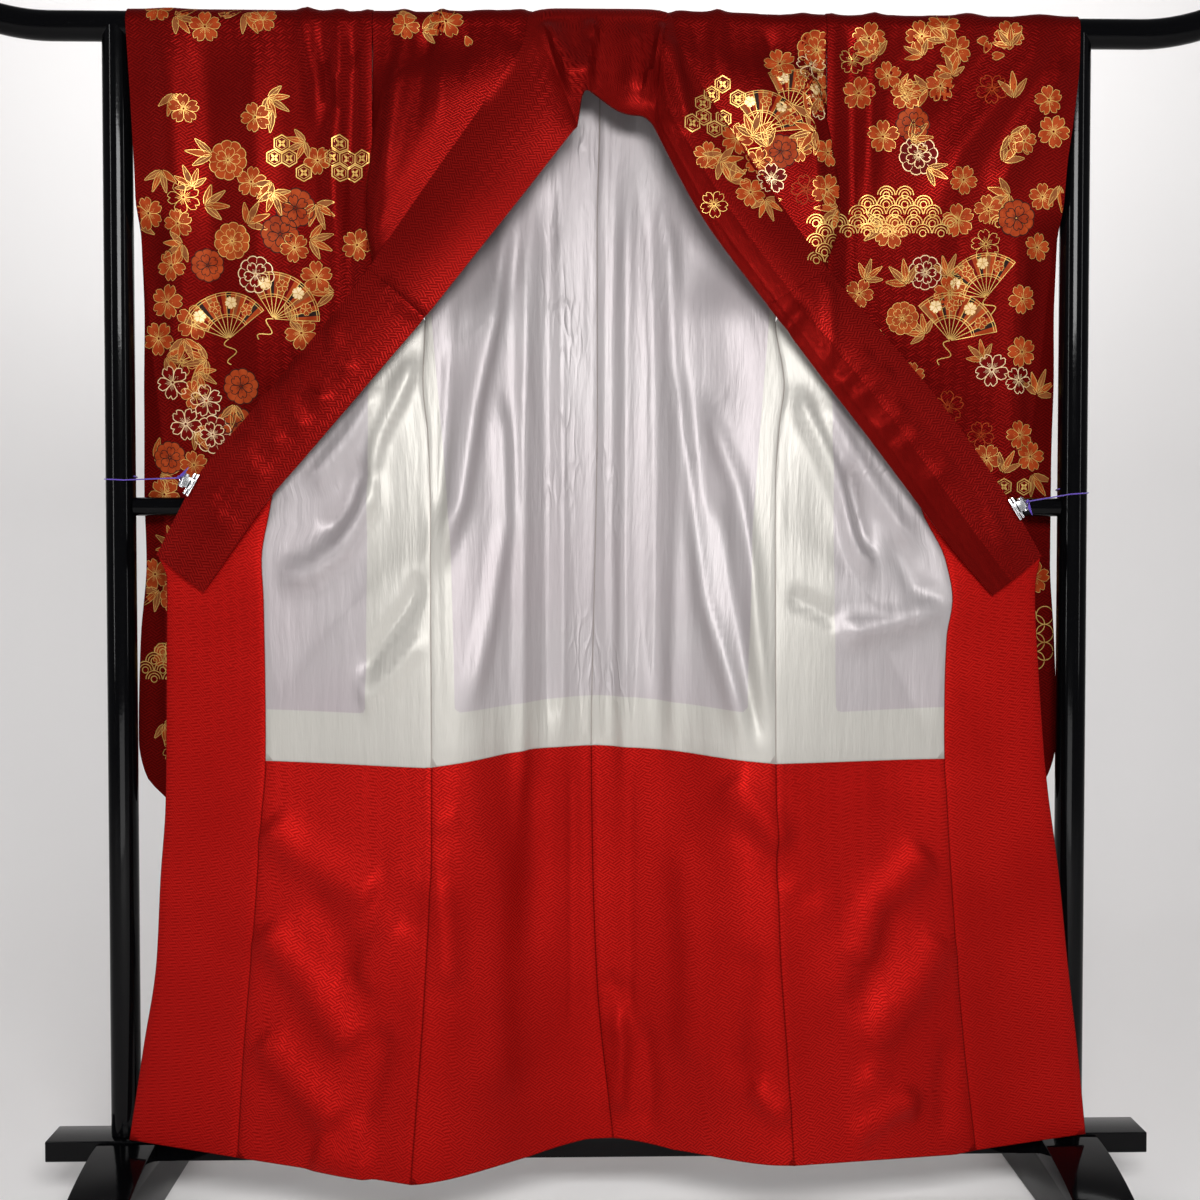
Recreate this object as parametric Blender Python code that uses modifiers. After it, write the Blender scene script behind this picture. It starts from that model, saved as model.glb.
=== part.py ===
"""Furisode hung open on a lacquered kimono stand, in metres, +Z up, front towards -Y.

The origin is on the floor under the middle of the stand. Each cloth is a thin wall: plan sections at a
few heights give its inside face, and its outside face is the same points moved out by its thickness.
"""

import math

import bpy
import bmesh
import numpy as np
from mathutils import Matrix, Vector

# Stand
BAR_RADIUS = 0.0205
BAR_HEIGHT = 1.657
BAR_STRAIGHT_HALF = 0.76
BAR_TIP_REACH = 0.14
BAR_TIP_RISE = 0.034
UPRIGHT_RADIUS = 0.0205
UPRIGHT_X = 0.672
RAIL_RADIUS = 0.013
RAIL_HEIGHT = 0.990
PLANK_HALF_LENGTH = 0.777
PLANK_DEPTH = 0.060
PLANK_THICKNESS = 0.029
PLANK_TOP = 0.102
FOOT_X = 0.663
FOOT_WIDTH = 0.083
FOOT_HALF_LENGTH = 0.300
FOOT_HEIGHT = 0.100
FIT_GAP = 0.0003

# Cloth
CLOTH = 0.0016
LINING = 0.0012
LAYER_GAP = 0.0004
SEAM_GAP = 0.0003
BAR_CLOTH_RADIUS = 0.0216
BACK_COLUMNS = 7
FRONT_COLUMNS = 8
OKUMI_COLUMNS = 4
BAR_ANGLES = (1.0, 30.0, 60.0, 90.0)
# The neck's edge on each half of the body, at those angles
NECK_EDGE = {"back": (0.0002, 0.0002, 0.0002, 0.0002), "front": (0.088, 0.094, 0.098, 0.100)}
FRONT_SLACK = 0.012

# Heights of the plan sections, from the bar's axis down to the hem. All panels share the low ones.
TOP = BAR_HEIGHT
HEM = 0.106
HEM_FADE_HEIGHT = 0.60
JOIN_HEIGHT = 1.244
FOLD_LOW = 1.3126
WHITE_LOW = 0.65
WHITE_TOP = {"back": 1.55, "front": 1.28}
OKUMI_LINING_TOP = 1.032
LOW_LEVELS = (JOIN_HEIGHT, 1.18, 1.10, 1.032, 0.977, 0.922, 0.87, 0.76, 0.65, 0.53, 0.40, 0.25, HEM)
LEVELS = {
    "back": (TOP, 1.55, 1.43, 1.34) + LOW_LEVELS,
    "front": (TOP, 1.62, 1.57, 1.52, 1.47, 1.42, 1.39, 1.365, 1.34, 1.326, FOLD_LOW, 1.296, 1.28) + LOW_LEVELS,
    "okumi": LOW_LEVELS,
}

# Seam lines of the hanging cloth: height, distance from the middle, depth
CENTRE_LINE = (
    (1.657, 0.000, 0.0216),
    (1.560, 0.000, 0.0160),
    (1.380, -0.004, 0.0020),
    (1.140, -0.004, -0.0130),
    (0.990, -0.006, -0.0205),
    (0.860, -0.009, -0.0270),
    (0.657, -0.013, -0.0350),
    (0.485, -0.011, -0.0400),
    (0.325, -0.005, -0.0450),
    (0.106, 0.017, -0.0550),
)
SIDE_LINES = {
    "left": (
        (1.657, 0.3150, 0.0216),
        (1.550, 0.3150, 0.0200),
        (1.430, 0.3130, 0.0120),
        (1.340, 0.2850, -0.0100),
        (1.244, 0.2420, -0.0400),
        (1.158, 0.2440, -0.0500),
        (1.079, 0.2360, -0.0600),
        (0.970, 0.2320, -0.0750),
        (0.860, 0.2310, -0.0900),
        (0.637, 0.2275, -0.1200),
        (0.530, 0.2270, -0.1300),
        (0.355, 0.2350, -0.1450),
        (0.106, 0.2530, -0.1600),
    ),
    "right": (
        (1.657, 0.3150, 0.0216),
        (1.550, 0.3150, 0.0200),
        (1.430, 0.3130, 0.0120),
        (1.340, 0.2850, -0.0100),
        (1.244, 0.2420, -0.0400),
        (1.159, 0.2530, -0.0500),
        (1.106, 0.2460, -0.0570),
        (1.027, 0.2390, -0.0690),
        (0.865, 0.2360, -0.0900),
        (0.639, 0.2340, -0.1150),
        (0.400, 0.2380, -0.1300),
        (0.248, 0.2470, -0.1400),
        (0.106, 0.2550, -0.1500),
    ),
}
OKUMI_SEAMS = {
    "left": (
        (1.244, 0.3630, -0.0560),
        (1.180, 0.3970, -0.0545),
        (1.100, 0.4290, -0.0520),
        (0.984, 0.4540, -0.0500),
        (0.915, 0.4646, -0.0550),
        (0.860, 0.4612, -0.0600),
        (0.644, 0.4567, -0.0750),
        (0.570, 0.4616, -0.0800),
        (0.419, 0.4716, -0.0850),
        (0.263, 0.4844, -0.0900),
        (0.106, 0.4937, -0.0950),
    ),
    "right": (
        (1.244, 0.3630, -0.0560),
        (1.180, 0.3960, -0.0545),
        (1.100, 0.4220, -0.0520),
        (0.986, 0.4440, -0.0500),
        (0.915, 0.4766, -0.0550),
        (0.860, 0.4854, -0.0600),
        (0.807, 0.4774, -0.0600),
        (0.640, 0.4731, -0.0700),
        (0.597, 0.4749, -0.0750),
        (0.411, 0.4872, -0.0750),
        (0.251, 0.5014, -0.0750),
        (0.106, 0.5199, -0.0700),
    ),
}
# The collar's seam: height, distance from the middle, depth of the collar's back face
COLLAR_SEAMS = {
    "left": (
        (1.6195, 0.1082, -0.0350),
        (1.5330, 0.1658, -0.0400),
        (1.4482, 0.2241, -0.0480),
        (1.3939, 0.2606, -0.0530),
        (1.3126, 0.3161, -0.0575),
        (1.2038, 0.4035, -0.0590),
        (1.1140, 0.4786, -0.0590),
        (1.0322, 0.5483, -0.0590),
        (0.9770, 0.5790, -0.0570),
        (0.9218, 0.6075, -0.0550),
    ),
    "right": (
        (1.6185, 0.1096, -0.0350),
        (1.5801, 0.1314, -0.0380),
        (1.4971, 0.1849, -0.0430),
        (1.4114, 0.2410, -0.0510),
        (1.3126, 0.3110, -0.0575),
        (1.2378, 0.3766, -0.0590),
        (1.1586, 0.4461, -0.0590),
        (1.0804, 0.5062, -0.0590),
        (0.9978, 0.5637, -0.0590),
        (0.9205, 0.6105, -0.0550),
    ),
}
# The okumi's free front edge, below the collar's end
OKUMI_EDGES = {
    "left": (
        (0.890, 0.5950, -0.0510),
        (0.772, 0.5964, -0.0500),
        (0.580, 0.5993, -0.0500),
        (0.474, 0.6070, -0.0500),
        (0.358, 0.6134, -0.0500),
        (0.237, 0.6322, -0.0500),
        (0.106, 0.6525, -0.0500),
    ),
    "right": (
        (0.876, 0.6040, -0.0500),
        (0.766, 0.6107, -0.0450),
        (0.602, 0.6247, -0.0450),
        (0.468, 0.6428, -0.0450),
        (0.353, 0.6550, -0.0450),
        (0.226, 0.6703, -0.0450),
        (0.106, 0.6827, -0.0450),
    ),
}
COLLAR_TUCK = 0.0028

# Front panel above the collar's low half, where it folds over itself:
# height, then distance from the middle and depth at the armhole, behind the fold, at the fold,
# in front of it, and at the collar
FRONT_FOLDS = (
    (1.657, 0.3150, -0.0216, 0.2620, -0.0216, 0.2080, -0.0216, 0.1550, -0.0216, 0.1000, -0.0216),
    (1.620, 0.3142, -0.0218, 0.2750, -0.0240, 0.2250, -0.0260, 0.1650, -0.0292, 0.1080, -0.0305),
    (1.570, 0.3140, -0.0222, 0.3020, -0.0310, 0.2750, -0.0410, 0.2000, -0.0420, 0.1410, -0.0360),
    (1.520, 0.3140, -0.0225, 0.3090, -0.0320, 0.2960, -0.0430, 0.2350, -0.0470, 0.1748, -0.0387),
    (1.470, 0.3140, -0.0228, 0.3140, -0.0340, 0.3090, -0.0450, 0.2620, -0.0510, 0.2091, -0.0437),
    (1.420, 0.3110, -0.0240, 0.3185, -0.0340, 0.3180, -0.0450, 0.2860, -0.0540, 0.2431, -0.0484),
    (1.370, 0.2980, -0.0280, 0.3120, -0.0350, 0.3200, -0.0450, 0.3040, -0.0550, 0.2769, -0.0521),
    (1.340, 0.2860, -0.0310, 0.3030, -0.0350, 0.3145, -0.0420, 0.3090, -0.0500, 0.2974, -0.0538),
    (1.3126, 0.2720, -0.0330, 0.2880, -0.0360, 0.3030, -0.0400, 0.3130, -0.0465, 0.3161, -0.0553),
)
RIGHT_FOLD_OUT = 0.010

# Sleeve: height, then the outer edge's distance from the middle, and the depth of its mid surface
SLEEVE_INNER = 0.3168
SLEEVE_LOW = 0.567
SLEEVE_OUTER = {
    "left": (
        (1.657, 0.6540),
        (1.550, 0.6478),
        (1.414, 0.6420),
        (1.277, 0.6405),
        (1.140, 0.6459),
        (1.014, 0.6484),
        (0.915, 0.6464),
        (0.800, 0.6558),
        (0.658, 0.6599),
        (0.608, 0.6503),
        (0.567, 0.6150),
    ),
    "right": (
        (1.657, 0.6706),
        (1.614, 0.6697),
        (1.531, 0.6619),
        (1.463, 0.6529),
        (1.379, 0.6480),
        (1.282, 0.6476),
        (1.142, 0.6521),
        (1.044, 0.6520),
        (0.915, 0.6520),
        (0.800, 0.6590),
        (0.658, 0.6640),
        (0.608, 0.6540),
        (0.567, 0.6180),
    ),
}
# Height, depth of the middle between the two layers, half the space between them
SLEEVE_DEPTH = (
    (1.657, 0.0000, 0.0216),
    (1.430, 0.0000, 0.0224),
    (1.250, 0.0150, 0.0190),
    (1.050, 0.0330, 0.0120),
    (0.567, 0.0360, 0.0090),
)
SLEEVE_LEVELS = (1.60, 1.52, 1.43, 1.36, 1.28, 1.17, 1.05, 0.93, 0.80, 0.70, 0.64, 0.60, 0.567)
SLEEVE_COLUMNS = 7
SLEEVE_PINCH = 0.080
SLEEVE_SEAM_HALF = 0.0010

# Collar: across it, the part that lies on the bar and the part that hangs
COLLAR_RADIUS = 0.0243
COLLAR_COLUMNS = 7
COLLAR_HANGING = 3
COLLAR_CROWN = 0.004
OVER_COLLAR = 0.0012
# A section each: the neck seam's distance from the middle and angle behind the bar's front,
# the free edge's distance from the middle, depth and height
NECK_SECTIONS = (
    (-0.1000, 30.0, -0.0320, -0.0500, 1.5080),
    (-0.0940, 55.0, -0.0300, -0.0500, 1.5180),
    (-0.0850, 80.0, -0.0280, -0.0490, 1.5300),
    (-0.0560, 96.0, -0.0240, -0.0480, 1.5600),
    (-0.0180, 96.0, -0.0080, -0.0470, 1.5520),
    (0.0180, 96.0, 0.0190, -0.0470, 1.5320),
    (0.0560, 96.0, 0.0420, -0.0480, 1.5240),
    (0.0850, 80.0, 0.0560, -0.0490, 1.5240),
    (0.0940, 55.0, 0.0620, -0.0500, 1.5240),
    (0.1000, 30.0, 0.0700, -0.0510, 1.5120),
)
# Below the neck: seam height, then the free edge's distance from the middle, depth and height
COLLAR_SECTIONS = {
    "left": (
        (1.6195, 0.0400, -0.0530, 1.4990),
        (1.5600, 0.0790, -0.0580, 1.4480),
        (1.5000, 0.1180, -0.0630, 1.3970),
        (1.4400, 0.1570, -0.0680, 1.3470),
        (1.3700, 0.2010, -0.0725, 1.2905),
        (1.3126, 0.2388, -0.0750, 1.2427),
        (1.2550, 0.2780, -0.0770, 1.1970),
        (1.2000, 0.3190, -0.0775, 1.1490),
        (1.1400, 0.3650, -0.0765, 1.0960),
        (1.0800, 0.4130, -0.0740, 1.0410),
        (1.0322, 0.4530, -0.0710, 0.9960),
        (0.9770, 0.5000, -0.0670, 0.9310),
        (0.9218, 0.5427, -0.0620, 0.8713),
    ),
    "right": (
        (1.6185, 0.0790, -0.0530, 1.4950),
        (1.5600, 0.1020, -0.0580, 1.4480),
        (1.5000, 0.1290, -0.0630, 1.3970),
        (1.4400, 0.1580, -0.0680, 1.3520),
        (1.3700, 0.1960, -0.0725, 1.3010),
        (1.3126, 0.2270, -0.0750, 1.2606),
        (1.2550, 0.2690, -0.0770, 1.2050),
        (1.2000, 0.3110, -0.0775, 1.1500),
        (1.1400, 0.3570, -0.0765, 1.0920),
        (1.0800, 0.4050, -0.0740, 1.0300),
        (1.0322, 0.4430, -0.0710, 0.9810),
        (0.9770, 0.4880, -0.0670, 0.9250),
        (0.9205, 0.5405, -0.0620, 0.8659),
    ),
}
OVER_COLLAR_SECTIONS = 6

# Clips on the front edges, and their cords round the uprights
CLIP_HEIGHT = {"left": 1.017, "right": 0.985}
CLIP_WIDTH = 0.033
CLIP_WALL = 0.0016
CLIP_BITE = 0.008
CLIP_FRONT = 0.0052
CLIP_BACK = 0.0062
CLIP_BARREL_OUT = 0.014
CLIP_BARREL_RADIUS = 0.0055
CORD_RADIUS = 0.0009
CORD_RISE = {"left": 0.006, "right": 0.008}
CORD_LIFT = {"left": -0.001, "right": 0.012}

FOLD_WAVES = 2.0
FOLD_DEPTH = 0.006

SIGN = {"left": -1.0, "right": 1.0}


def clear_scene() -> None:
    """Remove what the scene holds."""
    for obj in list(bpy.data.objects):
        bpy.data.objects.remove(obj, do_unlink=True)


def collection(name: str) -> bpy.types.Collection:
    """A collection of that name, linked to the scene."""
    made = bpy.data.collections.new(name)
    bpy.context.scene.collection.children.link(made)
    return made


def material(name, colour, roughness, metallic=0.0) -> bpy.types.Material:
    """A plain Principled finish."""
    made = bpy.data.materials.new(name)
    made.use_nodes = True
    shader = made.node_tree.nodes["Principled BSDF"]
    shader.inputs["Base Color"].default_value = (*colour, 1.0)
    shader.inputs["Roughness"].default_value = roughness
    shader.inputs["Metallic"].default_value = metallic
    return made


def at_height(table, height):
    """The columns after the first of a table that runs downwards, at one height."""
    rows = np.array(table, float)[::-1]
    return np.array([np.interp(height, rows[:, 0], rows[:, k]) for k in range(1, rows.shape[1])])


def smooth_step(value):
    """0 to 1 with level ends."""
    value = np.clip(value, 0.0, 1.0)
    return value * value * (3.0 - 2.0 * value)


def through(points, count):
    """count + 1 points of a smooth curve through the points."""
    points = np.array(points, float)
    padded = np.vstack([2 * points[0] - points[1], points, 2 * points[-1] - points[-2]])
    at = np.linspace(0.0, len(points) - 1.0, count + 1)
    out = []
    for value in at:
        k = min(int(value), len(points) - 2)
        f = value - k
        a, b, c, d = padded[k:k + 4]
        out.append(0.5 * (2 * b + (c - a) * f + (2 * a - 5 * b + 4 * c - d) * f * f
                          + (3 * b - a - 3 * c + d) * f ** 3))
    return np.array(out)


def collar_seam(side, height):
    """Plan place of the collar's back face at its seam."""
    return at_height(COLLAR_SEAMS[side], height)


def okumi_edge(side, height):
    """Plan place of the okumi's outer edge: tucked behind the collar's seam, or free below it."""
    low = COLLAR_SEAMS[side][-1][0]
    if height >= low:
        return collar_seam(side, height) + np.array([0.0, COLLAR_TUCK])
    first = (low, *(collar_seam(side, low) + np.array([0.0, COLLAR_TUCK])))
    return at_height((first, *OKUMI_EDGES[side]), height)


def fold_wave(height, amount):
    """How far a back fold stands towards the front: none at the bar and the seams."""
    strength = smooth_step((TOP - height) / 0.35) * smooth_step((height - 0.05) / 0.6)
    return -FOLD_DEPTH * strength * np.sin(math.pi * FOLD_WAVES * amount) ** 2


def back_section(side, height):
    """Plan points of the back panel's inside face, centre to side, x measured outwards."""
    centre = at_height(CENTRE_LINE, height)
    centre[0] *= SIGN[side]
    edge = at_height(SIDE_LINES[side], height)
    amount = np.linspace(0.0, 1.0, BACK_COLUMNS + 1)
    turn = smooth_step((TOP - height) / 0.4)
    depth = amount + turn * (smooth_step(amount) ** 1.2 - amount)
    x = centre[0] + (edge[0] - centre[0]) * amount
    y = centre[1] + (edge[1] - centre[1]) * depth + fold_wave(height, amount)
    return np.column_stack([x, y])


def front_section(side, height):
    """Plan points of the front panel's inside face, armhole or side seam to collar or okumi seam."""
    if height >= FOLD_LOW:
        row = at_height(FRONT_FOLDS, height).reshape(-1, 2)
        if side == "right":
            out = RIGHT_FOLD_OUT * smooth_step((TOP - height) / 0.1) * smooth_step((height - FOLD_LOW) / 0.1)
            row[1:4, 0] += out * np.array([0.1, 1.0, 0.5])
        if height <= COLLAR_SEAMS[side][0][0]:
            row[4] = collar_seam(side, height) + np.array([0.0, COLLAR_TUCK])
        return through(row, FRONT_COLUMNS)
    start = at_height(SIDE_LINES[side], min(height, JOIN_HEIGHT))
    end = at_height(OKUMI_SEAMS[side], min(height, JOIN_HEIGHT))
    if height > JOIN_HEIGHT:
        amount = (FOLD_LOW - height) / (FOLD_LOW - JOIN_HEIGHT)
        high = np.array(FRONT_FOLDS[-1][1:3])
        start = high + (start - high) * amount
        tuck = collar_seam(side, JOIN_HEIGHT) + np.array([0.0, COLLAR_TUCK])
        end = collar_seam(side, height) + np.array([0.0, COLLAR_TUCK]) + (end - tuck) * amount
    slack = FRONT_SLACK * smooth_step((height - 0.2) / 0.6)
    amount = np.linspace(0.0, 1.0, 5)
    row = start + (end - start) * amount[:, None]
    row[:, 1] += slack * np.sin(math.pi * amount) * (amount - 0.35)
    return through(row, FRONT_COLUMNS)


def okumi_section(side, height):
    """Plan points of the okumi's inside face, seam to outer edge."""
    start = at_height(OKUMI_SEAMS[side], height)
    end = okumi_edge(side, height)
    amount = np.linspace(0.0, 1.0, OKUMI_COLUMNS + 1)[:, None]
    return start + (end - start) * amount


def outward(points):
    """Unit plan normals of a run of points, towards the cloth's outside.

    x is measured outwards from the middle, so one rule serves both sides.
    """
    run = np.gradient(points, axis=0)
    normal = np.column_stack([-run[:, 1], run[:, 0]])
    return normal / np.linalg.norm(normal, axis=1)[:, None]


class Panel:
    """One panel's inside face: a run of plan points and outward normals at each of its heights."""

    def __init__(self, side, name):
        self.side = side
        self.heights = LEVELS[name]
        sections = [self.section(name, height) for height in self.heights]
        self.points = np.array([points for points, normals in sections])
        self.normals = np.array([normals for points, normals in sections])

    def section(self, name, height):
        """Points and normals at one height; below the armholes the seams share their normals."""
        parts = {}
        if name == "back" or height <= JOIN_HEIGHT:
            parts["back"] = back_section(self.side, height)
        if name == "front" or height <= JOIN_HEIGHT:
            parts["front"] = front_section(self.side, height)
        if height <= JOIN_HEIGHT:
            parts["okumi"] = okumi_section(self.side, height)
        runs = list(parts.values())
        whole = np.vstack([runs[0], *[run[1:] for run in runs[1:]]])
        normals = outward(whole)
        if "back" in parts:
            normals[0] = (0.0, 1.0)
        first = 0
        for key, run in parts.items():
            if key == name:
                return run, normals[first:first + len(run)]
            first += len(run) - 1
        raise ValueError(name)

    def at(self, column, height, offset):
        """A point of one column, moved out by an offset, in the world."""
        heights = self.heights[::-1]
        point, normal = (
            np.array([np.interp(height, heights, grid[::-1, column, k]) for k in (0, 1)])
            for grid in (self.points, self.normals)
        )
        last = len(self.points[0]) - 1
        if column in (0, last):
            inner = self.points[:, 1 if column == 0 else last - 1]
            step = np.array([np.interp(height, heights, inner[::-1, k]) for k in (0, 1)]) - point
            point = point + step / np.linalg.norm(step) * SEAM_GAP / 2
        x, y = point + normal / np.linalg.norm(normal) * offset
        rise = hem_rise(self.side, point[0], height) + white_rise(self.side, point[0], height)
        return (SIGN[self.side] * x, y, height + rise)

    def grid(self, levels, offset):
        """Points at a list of heights, moved out by an offset."""
        count = len(self.points[0])
        return np.array([[self.at(c, level, offset) for c in range(count)] for level in levels])


def wall(name, inside, outside, finish, group) -> bpy.types.Object:
    """A closed wall between two grids of points of the same shape."""
    rows, columns = inside.shape[:2]
    mesh = bpy.data.meshes.new(name)
    work = bmesh.new()
    near = [[work.verts.new(p) for p in row] for row in inside]
    far = [[work.verts.new(p) for p in row] for row in outside]
    for r in range(rows - 1):
        for c in range(columns - 1):
            for face in (near, far):
                work.faces.new((face[r][c], face[r][c + 1], face[r + 1][c + 1]))
                work.faces.new((face[r][c], face[r + 1][c + 1], face[r + 1][c]))
    rim = [(0, c) for c in range(columns)] + [(r, columns - 1) for r in range(1, rows)]
    rim += [(rows - 1, c) for c in range(columns - 2, -1, -1)] + [(r, 0) for r in range(rows - 2, 0, -1)]
    for (r, c), (s, d) in zip(rim, rim[1:] + rim[:1]):
        work.faces.new((near[s][d], near[r][c], far[r][c], far[s][d]))
    bmesh.ops.recalc_face_normals(work, faces=work.faces[:])
    if work.calc_volume(signed=True) < 0:
        bmesh.ops.reverse_faces(work, faces=work.faces[:])
    work.to_mesh(mesh)
    work.free()
    mesh.shade_smooth()
    mesh.set_sharp_from_angle(angle=math.radians(50))
    mesh.materials.append(finish)
    obj = bpy.data.objects.new(name, mesh)
    group.objects.link(obj)
    return obj


def hem_rise(side, x, height):
    """The hem isn't quite level: how far it stands above its mean, fading out by mid height."""
    places = (0.02, 0.10, 0.25, 0.49, 0.68)
    rises = {"left": (0.005, -0.006, -0.014, -0.002, 0.008), "right": (0.005, -0.004, 0.003, -0.013, 0.001)}
    fade = np.clip((HEM_FADE_HEIGHT - height) / (HEM_FADE_HEIGHT - HEM), 0.0, 1.0)
    return np.interp(x, places, rises[side]) * fade


def white_rise(side, x, height):
    """The white lining's low edge isn't level either: how far its row stands above WHITE_LOW."""
    places = (0.0, 0.10, 0.235, 0.47)
    rises = {"left": (0.007, 0.005, -0.013, -0.008), "right": (0.007, 0.003, -0.0095, -0.009)}
    near = np.clip(1.0 - abs(height - WHITE_LOW) / 0.11, 0.0, 1.0)
    return np.interp(x, places, rises[side]) * near


def bar_rows(back, inner_x, outer_x, count, radius):
    """Rows that go over the bar at a radius, from its crown down to the level of its axis."""
    rows = []
    amounts = np.linspace(0.0, 1.0, count + 1)
    for angle, inner in zip(BAR_ANGLES, inner_x):
        turn = math.radians(angle)
        y = radius * math.sin(turn) * (1.0 if back else -1.0)
        z = BAR_HEIGHT + radius * math.cos(turn)
        x = inner + (outer_x - inner) * amounts if back else outer_x + (inner - outer_x) * amounts
        rows.append(np.column_stack([x, np.full(count + 1, y), np.full(count + 1, z)]))
    return np.array(rows)


def body_piece(side, panel, finish, group):
    """The back or the front half of one body cloth, from the bar's crown to the hem."""
    back = panel == "back"
    surface = Panel(side, panel)
    faces = []
    for offset in (0.0, CLOTH):
        count = len(surface.points[0]) - 1
        top = bar_rows(back, NECK_EDGE[panel], SIDE_LINES[side][0][1], count, BAR_CLOTH_RADIUS + offset)
        top[:, :, 0] *= SIGN[side]
        faces.append(np.vstack([top[:-1], surface.grid(LEVELS[panel], offset)]))
    return wall(f"body_{side}_{panel}", faces[0], faces[1], finish, group)


def okumi_piece(side, finish, group):
    """The long overlap panel that widens the front."""
    surface = Panel(side, "okumi")
    faces = [surface.grid(LEVELS["okumi"], offset) for offset in (0.0, CLOTH)]
    return wall(f"okumi_{side}", faces[0], faces[1], finish, group)


def lining_piece(side, panel, name, top, bottom, finish, group):
    """A lining on the inside face of a panel, between two heights."""
    surface = Panel(side, panel)
    levels = [top, *(level for level in LEVELS[panel] if bottom + 0.01 < level < top - 0.01), bottom]
    faces = [surface.grid(levels, offset) for offset in (-LAYER_GAP - LINING, -LAYER_GAP)]
    return wall(name, faces[0], faces[1], finish, group)


def sleeve_point(side, back, amount, height, offset):
    """A point of one sleeve layer; amount runs from the armhole to the outer edge."""
    middle, half = at_height(SLEEVE_DEPTH, height)
    outer = at_height(SLEEVE_OUTER[side], height)[0]
    inner = SLEEVE_INNER
    x = inner + (outer - inner) * amount
    cuff_open = smooth_step((height - 1.36) / 0.07)
    from_edge = (outer - x) / SLEEVE_PINCH + cuff_open
    from_low = (height - SLEEVE_LOW) / SLEEVE_PINCH
    near_seam = smooth_step(min(from_edge, from_low, 1.0)) ** 0.6
    half = SLEEVE_SEAM_HALF + (half - SLEEVE_SEAM_HALF) * near_seam
    y = middle + (half + offset) * (1.0 if back else -1.0)
    return (SIGN[side] * x, y, height)


def sleeve_piece(side, back, finish, group):
    """The back or front layer of a sleeve, from the bar's crown to its low seam."""
    amounts = np.linspace(0.0, 1.0, SLEEVE_COLUMNS + 1)
    faces = []
    for offset in (0.0, CLOTH):
        rows = []
        outer = at_height(SLEEVE_OUTER[side], BAR_HEIGHT)[0]
        for angle in BAR_ANGLES:
            radius = BAR_CLOTH_RADIUS + offset
            y = radius * math.sin(math.radians(angle)) * (1.0 if back else -1.0)
            z = BAR_HEIGHT + radius * math.cos(math.radians(angle))
            rows.append([(SIGN[side] * (SLEEVE_INNER + (outer - SLEEVE_INNER) * a), y, z) for a in amounts])
        for level in SLEEVE_LEVELS:
            rows.append([sleeve_point(side, back, a, level, offset) for a in amounts])
        faces.append(np.array(rows))
    name = f"sleeve_{side}_{'back' if back else 'front'}"
    return wall(name, faces[0], faces[1], finish, group)


def neck_profile(row, lift):
    """Points across the collar where it comes over the bar: round it, then down to the free edge."""
    seam_x, angle, free_x, free_y, free_z = row
    arc = math.radians(angle)
    radius = COLLAR_RADIUS + lift
    steps = COLLAR_COLUMNS - COLLAR_HANGING
    points = []
    for k in range(steps + 1):
        turn = arc * (1.0 - k / steps)
        x = seam_x + (free_x - seam_x) * 0.25 * k / steps
        points.append((x, -radius * math.cos(turn), BAR_HEIGHT + radius * math.sin(turn)))
    start = np.array(points[-1])
    end = np.array((free_x, free_y - lift, free_z))
    points += [tuple(start + (end - start) * k / COLLAR_HANGING) for k in range(1, COLLAR_HANGING + 1)]
    return points


def front_profile(side, row, lift):
    """Points across the collar below the neck: seam to free edge, slightly crowned."""
    height, free_x, free_y, free_z = row
    seam_x, seam_y = collar_seam(side, height)
    start = np.array((SIGN[side] * seam_x, seam_y - lift, height))
    end = np.array((SIGN[side] * free_x, free_y - lift, free_z))
    points = []
    for k in range(COLLAR_COLUMNS + 1):
        amount = k / COLLAR_COLUMNS
        point = start + (end - start) * amount
        point[1] -= COLLAR_CROWN * math.sin(math.pi * amount)
        points.append(tuple(point))
    return points


def collar_grid(lift, reach=None):
    """The collar's sections from the left end to the right end, a lift in front of its back face."""
    left = COLLAR_SECTIONS["left"][:reach]
    right = COLLAR_SECTIONS["right"][:reach]
    rows = [front_profile("left", row, lift) for row in left[::-1]]
    rows += [neck_profile(row, lift) for row in NECK_SECTIONS]
    rows += [front_profile("right", row, lift) for row in right]
    return np.array(rows)


def collar_piece(name, near, far, reach, finish, group):
    """The collar, or a shorter cloth that lies on it."""
    return wall(name, collar_grid(near, reach), collar_grid(far, reach), finish, group)


def as_mesh(obj, name, finish, group) -> bpy.types.Object:
    """A curve object turned into a welded mesh object."""
    depsgraph = bpy.context.evaluated_depsgraph_get()
    mesh = bpy.data.meshes.new_from_object(obj.evaluated_get(depsgraph))
    mesh.name = name
    work = bmesh.new()
    work.from_mesh(mesh)
    bmesh.ops.remove_doubles(work, verts=work.verts[:], dist=0.00001)
    bmesh.ops.recalc_face_normals(work, faces=work.faces[:])
    if work.calc_volume(signed=True) < 0:
        bmesh.ops.reverse_faces(work, faces=work.faces[:])
    work.to_mesh(mesh)
    work.free()
    placed = obj.matrix_world.copy()
    bpy.data.objects.remove(obj, do_unlink=True)
    made = bpy.data.objects.new(name, mesh)
    made.matrix_world = placed
    group.objects.link(made)
    mesh.materials.clear()
    mesh.materials.append(finish)
    mesh.shade_smooth()
    mesh.set_sharp_from_angle(angle=math.radians(35))
    return made


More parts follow.
